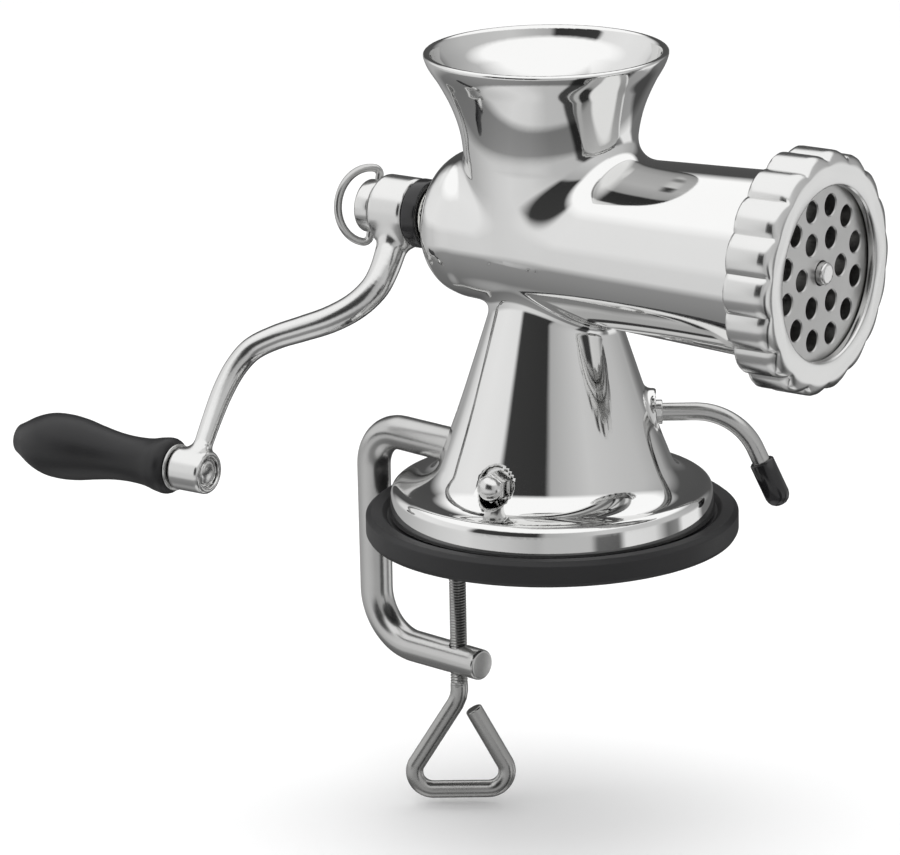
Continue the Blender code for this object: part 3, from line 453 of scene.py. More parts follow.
def cylinder_distance(points, start, end, radius, blend=0.6):
    """Signed distance from a round bar from start to end."""
    start, end = np.array(start, float), np.array(end, float)
    axis = (end - start) / np.linalg.norm(end - start)
    along = (points - start) @ axis
    radial = np.linalg.norm(points - start - along[:, None] * axis, axis=1) - radius
    return soft_max(soft_max(radial, -along, blend), along - np.linalg.norm(end - start), blend)


def slide_to_surface(points, distance, rounds=6):
    """Moves points onto the surface where distance is 0, and returns them with their normals."""
    step, farthest, flattest = 0.02, 0.8, 0.2
    for _ in range(rounds + 1):
        slope = np.stack([
            (distance(points + offset) - distance(points - offset)) / (2 * step)
            for offset in np.eye(3) * step
        ], axis=1)
        size = np.linalg.norm(slope, axis=1, keepdims=True)
        size[size < flattest] = flattest
        move = np.clip(distance(points)[:, None] / size, -farthest, farthest) * slope / size
        points = points - move
    return points, slope / size


def polish(name, blank, distance, voxel, relax=6):
    """Remeshes a blank evenly, slides it onto the formula's surface and evens out its mesh."""
    only(blank)
    step = blank.modifiers.new("even", "REMESH")
    step.mode, step.voxel_size = "VOXEL", voxel * MM
    apply_all(blank)
    blank.name = name
    mesh = blank.data
    count = len(mesh.vertices)
    points = np.empty(count * 3)
    mesh.vertices.foreach_get("co", points)
    points = points.reshape(-1, 3) / MM
    ends = np.empty(len(mesh.edges) * 2, int)
    mesh.edges.foreach_get("vertices", ends)
    ends = ends.reshape(-1, 2)
    valence = np.bincount(ends.ravel(), minlength=count)[:, None]
    points, normals = slide_to_surface(points, distance)
    for _ in range(relax):
        around = np.stack([
            np.bincount(ends[:, 0], points[ends[:, 1], k], count)
            + np.bincount(ends[:, 1], points[ends[:, 0], k], count)
            for k in range(3)
        ], axis=1) / valence
        points, normals = slide_to_surface(points * 0.4 + around * 0.6, distance, 1)
    points, normals = slide_to_surface(points, distance, 2)
    mesh.vertices.foreach_set("co", (points * MM).ravel())
    mesh.update()
    mesh.shade_smooth()
    mesh.normals_split_custom_set_from_vertices(normals.tolist())
    off = float(np.abs(distance(points)).max())
    print(name, count, "points, farthest from the formula", round(off, 4), "mm")
    return blank


def blank_of(node):
    """A copy of a CAD node with its loose triangles merged, to start a new piece from."""
    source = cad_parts[node]
    blank = source.copy()
    blank.data = source.data.copy()
    blank.parent = None
    for key in list(blank.keys()):
        del blank[key]
    scene.collection.objects.link(blank)
    only(blank)
    bpy.ops.object.mode_set(mode="EDIT")
    bpy.ops.mesh.select_all(action="SELECT")
    bpy.ops.mesh.remove_doubles(threshold=1e-6)
    bpy.ops.object.mode_set(mode="OBJECT")
    return blank

# %% [markdown]
# The outside has four turned forms. The barrel tapers towards a domed back, the hopper flares like a
# trumpet from an oval neck, the pedestal is a cone, and the base is a disc with an edge that leans in.

# %% Outside of the casting
barrel_curve = smooth_curve(
    [-41.6, -40.6, -38.4, -34.5, -29.5, -22, 0, 35, 70, 110],
    [10.5, 15.2, 19.2, 22.9, 24.8, 25.5, 26.6, 28.4, 29.9, 31.7],
)
hopper_z = [RIM_Z - 66, RIM_Z - 50, RIM_Z - 36, RIM_Z - 27, RIM_Z - 18, RIM_Z - 10, RIM_Z - 4, RIM_Z + 4]
hopper_long = smooth_curve(hopper_z, [26.5, 28.6, 29.3, 29.9, 32.2, 35.9, 39.4, 41.6])
hopper_wide = smooth_curve(hopper_z, [23.5, 26.0, 27.0, 28.4, 31.6, 35.7, 39.4, 41.6])
hopper_shift = smooth_curve(hopper_z, [1.6, 1.6, 1.3, 0.9, 0.5, 0.2, 0, 0])
PEDESTAL_X = 1.5
pedestal_curve = smooth_curve(
    [BASE_TOP - 8, BASE_TOP - 1, BASE_TOP + 4, BASE_TOP + 12, 46, 60, 74, 92],
    [45.0, 43.0, 40.6, 37.4, 31.4, 26.8, 22.3, 16.6],
)
FLANGE, THREAD_R, BASE_R = 92.0, 34.0, 54.7
CLAMP_ANGLE, CLAMP_BACK, CLAMP_Z = math.radians(-9), -73.0, 26.0
LEVER_ANGLE, LEVER_Z = math.radians(33.7), 41.2
LEVER_OUT = Vector((math.cos(LEVER_ANGLE), math.sin(LEVER_ANGLE), 0))
LOCK_X, LOCK_SEAT = 3.0, 35.4


def clamp_point(out, z):
    """A point of the bracket's plane, at a distance from its leg and a height."""
    return Vector((CLAMP_BACK + out * math.cos(CLAMP_ANGLE), out * math.sin(CLAMP_ANGLE), z))


def lever_point(out, z=LEVER_Z):
    """A point of the lever's plane, at a distance from the pedestal's axis and a height."""
    return LEVER_OUT * out + Vector((0, 0, z))


def oval_distance(p, long, wide, shift, less=0.0):
    """Signed distance from an upright oval form, made smaller all round by less."""
    z = p[:, 2]
    a, b = np.interp(z, *long) - less, np.interp(z, *wide) - less
    x, y = p[:, 0] - np.interp(z, *shift), p[:, 1]
    share = np.sqrt((x / a) ** 2 + (y / b) ** 2)
    slope = np.interp(z, long[0], np.gradient(long[1], long[0]))
    return (share - 1) * np.sqrt(a * b) / np.sqrt(1 + slope * slope)


def outside(p):
    """Signed distance from the casting's outside."""
    x, y, z = p.T
    r = np.hypot(y, z - SHAFT_Z)
    barrel = soft_max(turned_distance(x, r, barrel_curve), -41.4 - x, 1.5)
    barrel = soft_max(barrel, x - MOUTH_END, 0.8)
    flange = soft_max(soft_max(r - THREAD_R, FLANGE - x, 0.6), x - MOUTH_END, 1.0)
    boss = cylinder_distance(p, (-46, 0, SHAFT_Z), (-20, 0, SHAFT_Z), 10.8, 1.0)
    hopper = soft_max(oval_distance(p, hopper_long, hopper_wide, hopper_shift), z - RIM_Z, 1.6)
    hopper = soft_max(hopper, SHAFT_Z - 8 - z, 2)
    cone = turned_distance(z, np.hypot(x - PEDESTAL_X, y), pedestal_curve)
    cone = soft_max(soft_max(cone, z - 92, 2), BASE_Z + 2 - z, 2)
    edge = BASE_R - np.clip(z - BASE_Z, 0, 12) * 0.10
    lift = np.clip((50 - np.hypot(x, y)) / 12, 0, 1) * 0.7
    disc = soft_max(np.hypot(x, y) - edge, z - BASE_TOP - lift, 3.2)
    disc = soft_max(disc, BASE_Z - z, 1.2)
    socket = cylinder_distance(p, lever_point(20), lever_point(35.2), 8.0, 1.0)
    top_fillet = 4.0 + 5.0 * np.clip((x + 5) / 35, 0, 1)
    solid = soft_min(barrel, boss, 3.0)
    solid = soft_min(solid, flange, 1.2)
    solid = np.where(z > SHAFT_Z - 6, soft_min(solid, hopper, top_fillet), np.minimum(solid, hopper))
    solid = soft_min(solid, cone, 4.5)
    solid = soft_min(solid, disc, 7.0)
    return soft_min(solid, socket, 2.0)

# %% [markdown]
# The inside is cut from that: the auger's bore with a wider recess for the plate, the feed throat,
# the hollow of the pedestal with its two bosses left standing, and the drilled holes.

# %% Inside of the casting
SHOULDER, BORE_BACK = 95.0, -28.5
HOPPER_WALL, PEDESTAL_WALL = 2.5, 4.0
PLATE_R = (plate_high[1] - plate_low[1]) / 2
BORE_R_BACK, BORE_R_FRONT = 21.6, 26.5
lock_inner = (LOCK_X - CLAMP_BACK) * math.tan(-CLAMP_ANGLE)


def bore_radius(x):
    """The auger's bore widens towards the mouth."""
    return BORE_R_BACK + (BORE_R_FRONT - BORE_R_BACK) * (x - BORE_BACK) / (SHOULDER - BORE_BACK)


def inside(p):
    """Signed distance from everything that is hollow in the casting, but for the drilled holes."""
    x, y, z = p.T
    r = np.hypot(y, z - SHAFT_Z)
    bore = soft_max(soft_max(r - bore_radius(x), BORE_BACK - x, 1.0), x - SHOULDER - 4, 1.0)
    seat = soft_max(r - PLATE_R - 0.25, SHOULDER - x, 0.4)
    rear = soft_max(r - 10.15, x - BORE_BACK - 1, 0.4)
    throat = oval_distance(p, hopper_long, hopper_wide, hopper_shift, HOPPER_WALL)
    throat = soft_max(throat, SHAFT_Z + 5 - z, 4)
    hollow = turned_distance(z, np.hypot(x - PEDESTAL_X, y), pedestal_curve) + PEDESTAL_WALL
    hollow = soft_max(hollow, z - 65, 6)
    hollow = soft_min(hollow, np.hypot(x - PEDESTAL_X, y) - 35.5 + np.clip(z - 20, 0, 99), 1.5)
    boss = cylinder_distance(p, clamp_point(20, CLAMP_Z), clamp_point(87, CLAMP_Z), 9.5)
    near = cylinder_distance(p, lever_point(22.5), lever_point(60), 8.0)
    far = cylinder_distance(p, lever_point(-22.5), lever_point(-60), 5.5)
    hollow = soft_max(hollow, -np.minimum(np.minimum(boss, near), far), 2.0)
    room = cylinder_distance(p, (0, 0, CLAMP_Z + 5.3), (0, 0, 54), 11)
    hollow = soft_min(hollow, room, 1.0)
    key_z = SHAFT_Z + 30.9
    key = cylinder_distance(p, (FLANGE + 0.8, 0, key_z), (MOUTH_END + 3, 0, key_z), 1.6, 0.3)
    barrel = soft_min(np.minimum(np.minimum(seat, rear), bore), throat, 3.0)
    return soft_min(barrel, np.minimum(hollow, key), 0.4)


def drilled(p):
    """The clamp bar's socket, the lock screw's seat and hole, the stem's and the lever's holes."""
    bar = cylinder_distance(p, clamp_point(5, CLAMP_Z), clamp_point(83.3, CLAMP_Z), 6.25)
    seat = cylinder_distance(p, (LOCK_X, -70, CLAMP_Z), (LOCK_X, -LOCK_SEAT, CLAMP_Z), 6.3, 0.8)
    hole = cylinder_distance(p, (LOCK_X, -40, CLAMP_Z), (LOCK_X, -lock_inner, CLAMP_Z), 3.15)
    stem = cylinder_distance(p, (0, 0, 0), (0, 0, 40), 3.7)
    near = cylinder_distance(p, lever_point(12), lever_point(60), 6.7)
    far = cylinder_distance(p, lever_point(12), lever_point(-30.4), 3.25)
    return np.minimum.reduce([bar, seat, hole, stem, near, far])


def casting_distance(p):
    """Signed distance from the casting, with a round on every edge that a cut leaves."""
    return soft_max(soft_max(outside(p), -inside(p), 1.3), -drilled(p), 0.9)


casting = polish("casting", blank_of("body_casting"), casting_distance, 1.0)
fit(casting, "housing", mirror, "body_casting")

# %% [markdown]
# ## Ring nut
# The ring nut screws over the mouth and presses the plate home. Its rim has 18 shallow lobes that meet
# in sharp valleys, so wet hands can grip it. A circle is the start: a formula pushes its points out to
# the lobes, and the outline is then extruded and drawn in a little at both ends. The bore is turned.

# %% Ring nut
LOBES, POINTS_PER_LOBE = 18, 14
VALLEY_R, LOBE = 37.9, 1.9
only_none()
bpy.ops.mesh.primitive_circle_add(
    vertices=LOBES * POINTS_PER_LOBE, radius=VALLEY_R * MM, fill_type="NGON",
    location=(NUT_BACK * MM, 0, SHAFT_Z * MM), rotation=(0, math.pi / 2, 0),
)
ring_nut = bpy.context.object
ring_nut.name = "ring_nut_visual"
bpy.ops.object.transform_apply(location=True, rotation=True, scale=True)
centre = Vector((0, 0, SHAFT_Z * MM))


def lobed(angle, share):
    """Radius of the rim at an angle; share runs from a plain circle at 0 to full lobes at 1."""
    return VALLEY_R + LOBE * share * abs(math.sin(LOBES * angle / 2)) ** 0.75


def set_rim(piece, x, share, inset):
    """Lays the newest ring of rim points on the lobed outline at x."""
    for v in piece.data.vertices:
        if v.select:
            angle = math.atan2(v.co.y, v.co.z - centre.z)
            radius = (lobed(angle, share) - inset) * MM
            v.co = (x * MM, radius * math.sin(angle), centre.z + radius * math.cos(angle))


stations = [(0, 1, 1.3), (0.35, 1, 0.55), (1.0, 1, 0.1), (2.0, 1, 0), (12.0, 1, 0), (13.4, 1, 0.05),
            (14.6, 0.92, 0.35), (15.5, 0.7, 0.9), (16.1, 0.4, 1.5), (16.4, 0.15, 2.1), (16.5, 0, 2.7)]
set_rim(ring_nut, NUT_BACK, *stations[0][1:])
for step, share, inset in stations[1:]:
    bpy.ops.object.mode_set(mode="EDIT")
    bpy.ops.mesh.extrude_region_move(TRANSFORM_OT_translate={"value": (0.001, 0, 0)})
    bpy.ops.object.mode_set(mode="OBJECT")
    set_rim(ring_nut, NUT_BACK + step, share, inset)
clean(ring_nut, 30)
OPENING_R, LIP, BEYOND = 28.5, 2.9, 5
groove_r = THREAD_R + 0.3
lip_back = NUT_FRONT - LIP
bore = lathe(
    "bore",
    [(0.0, NUT_BACK - BEYOND), (THREAD_R + 1.2, NUT_BACK - BEYOND), (THREAD_R + 1.2, NUT_BACK),
     (groove_r, NUT_BACK + 0.9), (groove_r, lip_back), (OPENING_R + 0.4, lip_back),
     (OPENING_R, lip_back + 0.4), (OPENING_R, NUT_FRONT - 1.1), (OPENING_R + 0.15, NUT_FRONT - 0.6),
     (OPENING_R + 0.6, NUT_FRONT - 0.15), (OPENING_R + 1.1, NUT_FRONT),
     (OPENING_R + 1.1, NUT_FRONT + BEYOND), (0.0, NUT_FRONT + BEYOND)],
    (1, 0, 0), (0, 0, SHAFT_Z), 180,
)
drill(ring_nut, bore)
clean(ring_nut, 28)
fit(ring_nut, "nut", satin, "ring_nut")

# %% [markdown]
# ## Grinding plate
# The plate is a ground disc with drilled holes. Each hole is countersunk very lightly, which shows as
# a bright line round it, so each drill has a wider shoulder. The drills are joined, to cut them at once.

# %% Grinding plate
def turn_about_shaft(radius, angle):
    """The y and z of a point at a radius from the shaft and an angle from straight up."""
    return radius * math.sin(angle), SHAFT_Z + radius * math.cos(angle)


PIN_HOLE_R, HOLE_R, COUNTERSINK = 4.05, 3.5, 0.4
plate = lathe(
    "grinding_plate_visual",
    rounded([(PIN_HOLE_R, PLATE_BACK, 0.3), (PLATE_R, PLATE_BACK, 0.4), (PLATE_R, PLATE_FRONT, 0.5),
             (PIN_HOLE_R, PLATE_FRONT, 0.35)]),
    (1, 0, 0), (0, 0, SHAFT_Z), 128,
)
drill_outline = [
    (0.0, PLATE_BACK - BEYOND), (HOLE_R, PLATE_BACK - BEYOND), (HOLE_R, PLATE_FRONT - COUNTERSINK),
    (HOLE_R + COUNTERSINK, PLATE_FRONT), (HOLE_R + COUNTERSINK, PLATE_FRONT + BEYOND),
    (0.0, PLATE_FRONT + BEYOND),
]
drills = []
for count, ring in ((6, 12.0), (12, 22.0)):
    for k in range(count):
        y, z = turn_about_shaft(ring, 2 * math.pi * (k + 0.5) / count)
        drills.append(lathe("hole", drill_outline, (1, 0, 0), (0, y, z), 40))
y, z = turn_about_shaft(31.2, 0)
drills.append(rod("notch", 2.0, (PLATE_BACK - BEYOND, y, z), (PLATE_FRONT + BEYOND, y, z), 24))
only(drills[0])
for one in drills:
    one.select_set(True)
bpy.ops.object.join()
drill(plate, drills[0])
clean(plate, 25)
fit(plate, "plate", ground, "grinding_plate")

# %% [markdown]
# ## Auger and knife
# The auger is one casting too: a root that carries a helical blade. Its formula is the helix's
# distance along the shaft, wrapped at each turn, joined to the root with a fillet. At its front are
# a square for the knife and a pin that carries the plate's middle and shows in it.

# %% Auger
TANG = 9.0
COLLAR_X = BORE_BACK + 2.2
AUGER_FRONT = SHOULDER - 1.2
TURNS, BLADE_GAP = 4.5, 0.8


def box_distance(p, low, high, blend=0.5):
    """Signed distance from a box between two corners."""
    d = None
    for k in range(3):
        slab = np.maximum(low[k] - p[:, k], p[:, k] - high[k])
        d = slab if d is None else soft_max(d, slab, blend)
    return d


def auger_distance(p):
    """Signed distance from the auger: root, blade, collar, journal, squares and pin."""
    x, y, z = p.T
    z = z - SHAFT_Z
    r = np.hypot(y, z)
    middle = np.stack([x, y, z], axis=1)
    root_r = 10.5 - (x - COLLAR_X) * 0.008
    root = soft_max(soft_max(r - root_r, COLLAR_X - x, 0.8), x - AUGER_FRONT, 0.8)
    collar = soft_max(soft_max(r - 12.4, COLLAR_X - x, 0.5), x - COLLAR_X - 4, 1.5)
    journal = soft_max(soft_max(r - 7.4, -51.6 - x, 0.5), x - COLLAR_X - 2, 0.3)
    pin = soft_max(soft_max(r - 3.75, AUGER_FRONT - 2 - x, 0.4), x - PLATE_FRONT - 2.6, 1.2)
    start, end = COLLAR_X + 3.5, AUGER_FRONT - 2.2
    share = np.clip((x - start) / (end - start), 0, 1) ** (1 / 0.9)
    angle = np.arctan2(-y, z)
    lead = (end - start) / TURNS
    off = (share * TURNS - angle / (2 * math.pi) + 0.5) % 1.0 - 0.5
    thick = 2.9 - 0.9 * np.clip((r - 9) / 14, 0, 1)
    blade = soft_max((np.abs(off) * lead - thick) * 0.85, r - (bore_radius(x) - BLADE_GAP), 1.2)
    blade = soft_max(soft_max(blade, start - 1.5 - x, 1.0), x - end - 1.5, 1.0)
    blade = soft_max(blade, 6 - r, 0.5)
    solid = soft_min(root, blade, 3.0)
    solid = soft_min(soft_min(solid, collar, 1.0), journal, 0.6)
    half = TANG / 2
    square = box_distance(middle, (AUGER_FRONT - 2, -half, -half), (PLATE_BACK - 0.6, half, half))
    tang = box_distance(middle, (HUB_BACK + 1.1, -half, -half), (-51, half, half))
    thread = soft_max(r - 3.05, x - HUB_BACK - 14, 0.4)
    solid = np.minimum(soft_min(soft_min(solid, square, 0.6), pin, 0.6), tang)
    return soft_max(solid, -thread, 0.6)


auger = polish("auger_visual", blank_of("auger"), auger_distance, 0.8, 4)
fit(auger, "drive", satin, "auger")

# %% [markdown]
# ## Crank
# The arm is swept: it leaves the hub, leans out and runs straight to the eye, and gets thinner on its
# way. Its formula is the distance to a chain of short tapered bars. Hub and eye blend into it.

# %% Crank
def swept_distance(p, course, radii):
    """Distance from a bent bar whose radius changes from point to point of its course."""
    best = None
    for a, b, ra, rb in zip(course, course[1:], radii, radii[1:]):
        a, b = np.array(a), np.array(b)
        along = np.clip((p - a) @ (b - a) / ((b - a) @ (b - a)), 0, 1)
        d = np.linalg.norm(p - a - along[:, None] * (b - a), axis=1) - (ra + (rb - ra) * along)
        best = d if best is None else np.minimum(best, d)
    return best


EYE_FRONT, EYE_BACK, EYE_RECESS, BOLT_HOLE_R = -99.0, -112.0, 1.6, 3.25
ARM_X = -58.0
stations = [6, 14, 22, 29, 36, 42, 46.7, 51, 56.5, 63.5, 72, 82, 96.2]
lean = [0, 0, 0, -1.5, -6.5, -14.5, -24, -33, -41, -45, -46.9, -47.5, -47.5]
thickness = [5.4, 5.2, 4.9, 4.8, 4.7, 4.6, 4.4, 4.2, 4.1, 3.9, 3.7, 3.4, 3.1]
steps = np.linspace(0, len(stations) - 1, 60)
order = np.arange(len(stations))
arm_down, arm_x, arm_r = (
    np.interp(steps, *smooth_curve(order, values)) for values in (stations, lean, thickness)
)
arm_course = [tuple(SHAFT + Vector((ARM_X + x, 0, 0)) + DOWN * d) for x, d in zip(arm_x, arm_down)]


def crank_distance(p):
    """Signed distance from the crank: hub, arm and eye, less its square and its bolt hole."""
    middle = p - np.array(SHAFT)
    hub = cylinder_distance(p, (HUB_BACK, 0, SHAFT_Z), (HUB_FRONT, 0, SHAFT_Z), 11.6, 1.8)
    eye = cylinder_distance(p, (EYE_BACK, EYE.y, EYE.z), (EYE_FRONT, EYE.y, EYE.z), 7.3, 1.6)
    solid = soft_min(hub, swept_distance(p, arm_course, arm_r), 4.0)
    solid = soft_min(solid, eye, 3.5)
    half = TANG / 2 + 0.25
    tang = box_distance(middle, (HUB_BACK - 3, -half, -half), (HUB_FRONT + 3, half, half), 0.6)
    beyond = (EYE_FRONT + 3, EYE.y, EYE.z)
    bolt = cylinder_distance(p, (EYE_BACK - 3, EYE.y, EYE.z), beyond, BOLT_HOLE_R)
    recess = cylinder_distance(p, (EYE_FRONT - EYE_RECESS, EYE.y, EYE.z), beyond, 5.2, 0.4)
    return soft_max(solid, -np.minimum(np.minimum(tang, bolt), recess), 0.7)


crank = polish("crank_visual", blank_of("crank_arm"), crank_distance, 0.7, 5)
fit(crank, "drive", satin, "crank_arm")

# %% [markdown]
# ## Turned pieces on the shaft
# The dark washer, the thumb screw with its washer, and the bail that turns it. The bail is bent wire
# whose two ends meet in a cross hole of the thumb screw.

# %% Washer, thumb screw and bail
washer = lathe(
    "thrust_washer_visual",
    washer_outline(7.65, 11.7, washer_low[0], washer_high[0], 0.7),
    (1, 0, 0), SHAFT,
)
fit(washer, "drive", gloss_black, "thrust_washer")

WASHER_FACE, WASHER_THICK = HUB_BACK - 0.3, 0.9
disc = lathe(
    "thumb_washer_visual",
    washer_outline(3.05, 8.4, WASHER_FACE - WASHER_THICK, WASHER_FACE, 0.3),
    (1, 0, 0), SHAFT,
)
fit(disc, "drive", bright_rod, "thumb_washer")

THUMB_R, THUMB_LONG, SHANK = 9.0, 5.5, 13.0
BAIL_R, BAIL_HALF, BAIL_REACH, BAIL_BEND = 1.35, 12.6, 10.4, 2.2
head = WASHER_FACE - WASHER_THICK - 0.3
thumb = lathe(
    "thumb_screw_visual",
    [(0.0, head - THUMB_LONG),
     *rounded([(THUMB_R - 3, head - THUMB_LONG, 0), (THUMB_R, head - THUMB_LONG, 1.2), (THUMB_R, head, 0.5),
               (2.8, head, 0.3), (2.8, head + SHANK, 0.5), (1.0, head + SHANK, 0)]),
     (0.0, head + SHANK)],
    (1, 0, 0), SHAFT,
)
tilt, swing = math.radians(18), math.radians(45)
pin = Vector((0, math.sin(tilt), math.cos(tilt)))
reach = Vector((-math.cos(swing), 0, 0)) + Vector((0, -math.cos(tilt), math.sin(tilt))) * math.sin(swing)
pivot = SHAFT + Vector((head - THUMB_LONG / 2, 0, 0))
drill(thumb, rod("cross", BAIL_R + 0.3, pivot - pin * 15, pivot + pin * 15, 32))
soften(thumb, 0.15, 2, 50)
fit(thumb, "drive", satin, "thumb_screw")

half = [pivot + pin * (THUMB_R - 3.5)]
half += bow(pivot + reach * BAIL_BEND + pin * (BAIL_HALF - BAIL_BEND), 180, -90, BAIL_BEND, reach, pin, 10)
for k in range(1, 33):
    t = math.pi / 2 * (1 - k / 32)
    half.append(pivot + reach * (BAIL_BEND + BAIL_REACH * math.cos(t)) + pin * BAIL_HALF * math.sin(t))
mirrored = [point - pin * 2 * (point - pivot).dot(pin) for point in half[-2::-1]]
bail = wire("thumb_bail_visual", half + mirrored, BAIL_R, 24, 0.4)
fit(bail, "bail", bright_rod, "thumb_bail")

# %% [markdown]
# ## Grip
# The grip is turned plastic, thinnest a quarter of the way along and thickest towards its far end. A
# smooth curve through its radii gives the outline. The bolt runs through it and is domed at both ends.

# %% Grip
grip_middle = (0, EYE.y, EYE.z)
GRIP_START, GRIP_END = grip_high[0], grip_low[0]
grip_curve = smooth_curve(
    [0.0, 0.03, 0.08, 0.15, 0.26, 0.38, 0.50, 0.61, 0.71, 0.81, 0.90, 0.96, 1.0],
    [8.6, 9.5, 9.3, 8.3, 7.8, 8.2, 9.4, 10.7, 11.2, 10.7, 8.7, 6.6, 5.2], 90,
)
length = GRIP_START - GRIP_END
outline = [(float(r), float(GRIP_START - length * s)) for s, r in zip(*grip_curve)]
grip = lathe(
    "grip_visual",
    [(BOLT_HOLE_R, GRIP_START), (7.6, GRIP_START), (8.3, GRIP_START - 0.2), *outline[2:-1],
     (5.3, GRIP_END + 0.1), (4.7, GRIP_END), (4.6, GRIP_END + 0.1), (4.6, GRIP_END + 1.2),
     (BOLT_HOLE_R, GRIP_END + 1.2)],
    (1, 0, 0), grip_middle, 96, 40,
)
fit(grip, "handle", grip_plastic, "grip")

washer_back = EYE_BACK - 1.2
disc = lathe(
    "grip_washer_visual",
    washer_outline(BOLT_HOLE_R, 8.0, washer_back, washer_back + WASHER_THICK, 0.3),
    (1, 0, 0), grip_middle,
)
fit(disc, "drive", bright_rod, "grip_washer")
RECESS_X = EYE_FRONT - EYE_RECESS + 0.3
BOLT_R = 3.0
bolt = lathe(
    "grip_bolt_visual",
    [(0.0, GRIP_END - 1.0), (1.4, GRIP_END - 0.95), (2.7, GRIP_END - 0.7), (3.7, GRIP_END - 0.25),
     (4.15, GRIP_END + 0.3), (4.2, GRIP_END + 0.85), (BOLT_R, GRIP_END + 0.9), (BOLT_R, RECESS_X),
     (4.2, RECESS_X), (4.2, RECESS_X + 0.2), (3.9, RECESS_X + 0.55), (3.0, RECESS_X + 0.85),
     (1.6, RECESS_X + 1.03), (0.0, RECESS_X + 1.08)],
    (1, 0, 0), grip_middle, 48, 60,
)
fit(bolt, "drive", satin, "grip_bolt")

# %% [markdown]
# ## Table clamp
# One round bar, bent twice, slides in the pedestal. It gets a little thinner towards its foot, where
# the clamp screw passes through. A lock screw with a domed hexagonal head holds the bar in place.

# %% Clamp bar
CLAMP_LOW, CLAMP_END, CLAMP_LONG, SCREW_OUT = -49.5, 49.5, 83.0, 38.5
UPPER_BEND, LOWER_BEND, BAR_R, BAR_THINS = 14, 18, 6.0, 0.7
ahead, upward = (clamp_point(1, 0) - clamp_point(0, 0)), Vector((0, 0, 1))
course = [clamp_point(CLAMP_LONG - k * (CLAMP_LONG - UPPER_BEND) / 12, CLAMP_Z) for k in range(12)]
course += bow(clamp_point(UPPER_BEND, CLAMP_Z - UPPER_BEND), 90, 90, UPPER_BEND, ahead, upward, 16)
course += bow(clamp_point(LOWER_BEND, CLAMP_LOW + LOWER_BEND), 180, 90, LOWER_BEND, ahead, upward, 20)
course += [clamp_point(LOWER_BEND + (CLAMP_END - LOWER_BEND) * k / 8, CLAMP_LOW) for k in range(1, 9)]
runs = [0.0]
for a, b in zip(course, course[1:]):
    runs.append(runs[-1] + (b - a).length)
straight = CLAMP_LONG / 2
thin = [BAR_R - BAR_THINS * max(0.0, s - straight) / (runs[-1] - straight) for s in runs]
bar = wire("clamp_bar_visual", course, thin, 56, 1.0)
ends = [clamp_point(SCREW_OUT, CLAMP_LOW + beyond) for beyond in (-15, 15)]
drill(bar, rod("screw_hole", 3.25, *ends, 40))
clean(bar, 40)
fit(bar, "clamp", bright_rod, "clamp_bracket")

# %% [markdown]
# The clamp screw is one bar as well: thread at the top, and below it the bar is bent into a triangle to
# hold. The thread is 1 mm per turn. We lay many rings along that stretch and press a groove into
# them that climbs as it goes round.

# %% Clamp screw and its cap
HANDLE_HALF, HANDLE_TOP, HANDLE_LOW, HANDLE_BEND = 15.3, -62.0, -96.6, 6.5
HANDLE_TURN = math.radians(33.7)
CAP_R, CAP_TOP, CAP_THICK, CAP_NECK, SCREW_R = 8.0, -8.0, 3.5, 3.5, 3.0
PITCH, GROOVE = 1.0, 0.42
across = Vector((math.cos(HANDLE_TURN), math.sin(HANDLE_TURN), 0))
middle = clamp_point(SCREW_OUT, 0)
screw_tip = CAP_TOP - CAP_THICK - 0.3
lean_angle = math.atan2(HANDLE_HALF - 1.0, HANDLE_TOP - HANDLE_LOW - 2)
corner = HANDLE_LOW + HANDLE_BEND
half_wide = HANDLE_HALF - HANDLE_BEND * math.cos(lean_angle)
sweep = 90 + math.degrees(lean_angle)
thread_end = HANDLE_TOP + 3
rings = int((screw_tip - thread_end) / 0.125)
course = [middle + upward * (screw_tip + (thread_end - screw_tip) * k / rings) for k in range(rings + 1)]
course += [middle + upward * (HANDLE_TOP + 1), middle - across * 0.4 + upward * (HANDLE_TOP - 1.2),
           middle - across * 1.4 + upward * (HANDLE_TOP - 3.6)]
for sign, start in ((-1, 180 - math.degrees(lean_angle)), (1, 270)):
    corner_middle = middle + across * half_wide * sign + upward * corner
    course += bow(corner_middle, start, sweep, HANDLE_BEND, across, upward, 16)
course += [middle + across * 4.6 + upward * (HANDLE_TOP - 5.5)]
screw = wire("clamp_screw_visual", course, SCREW_R, 40, 0.7)
for v in screw.data.vertices:
    z = v.co.z / MM
    if z > thread_end:
        from_axis = Vector((v.co.x / MM - middle.x, v.co.y / MM - middle.y))
        climb = (z / PITCH - math.atan2(from_axis.y, from_axis.x) / (2 * math.pi)) % 1.0
        depth = GROOVE * (1 - abs(2 * climb - 1)) * min(1, (z - thread_end) / 2)
        radius = from_axis.length
        shrink = (radius - depth) / radius if radius > 2 else 1
        v.co.x, v.co.y = (middle.x + from_axis.x * shrink) * MM, (middle.y + from_axis.y * shrink) * MM
clean(screw, 30)
fit(screw, "screw", tin, "clamp_screw")

neck = CAP_TOP - CAP_THICK
cap = lathe(
    "pressure_cap_visual",
    [(0.0, CAP_TOP),
     *rounded([(CAP_R - 3, CAP_TOP, 0), (CAP_R, CAP_TOP, 1.0), (CAP_R, neck, 0.5),
               (SCREW_R + 2.2, neck, 0.4), (SCREW_R + 2.2, neck - CAP_NECK, 0.5),
               (SCREW_R + 0.25, neck - CAP_NECK, 0.3),
               (SCREW_R + 0.25, neck, 0.3), (1.5, neck, 0)]), (0.0, neck)],
    (0, 0, 1), middle, 64,
)
fit(cap, "jaw", tin, "pressure_cap")

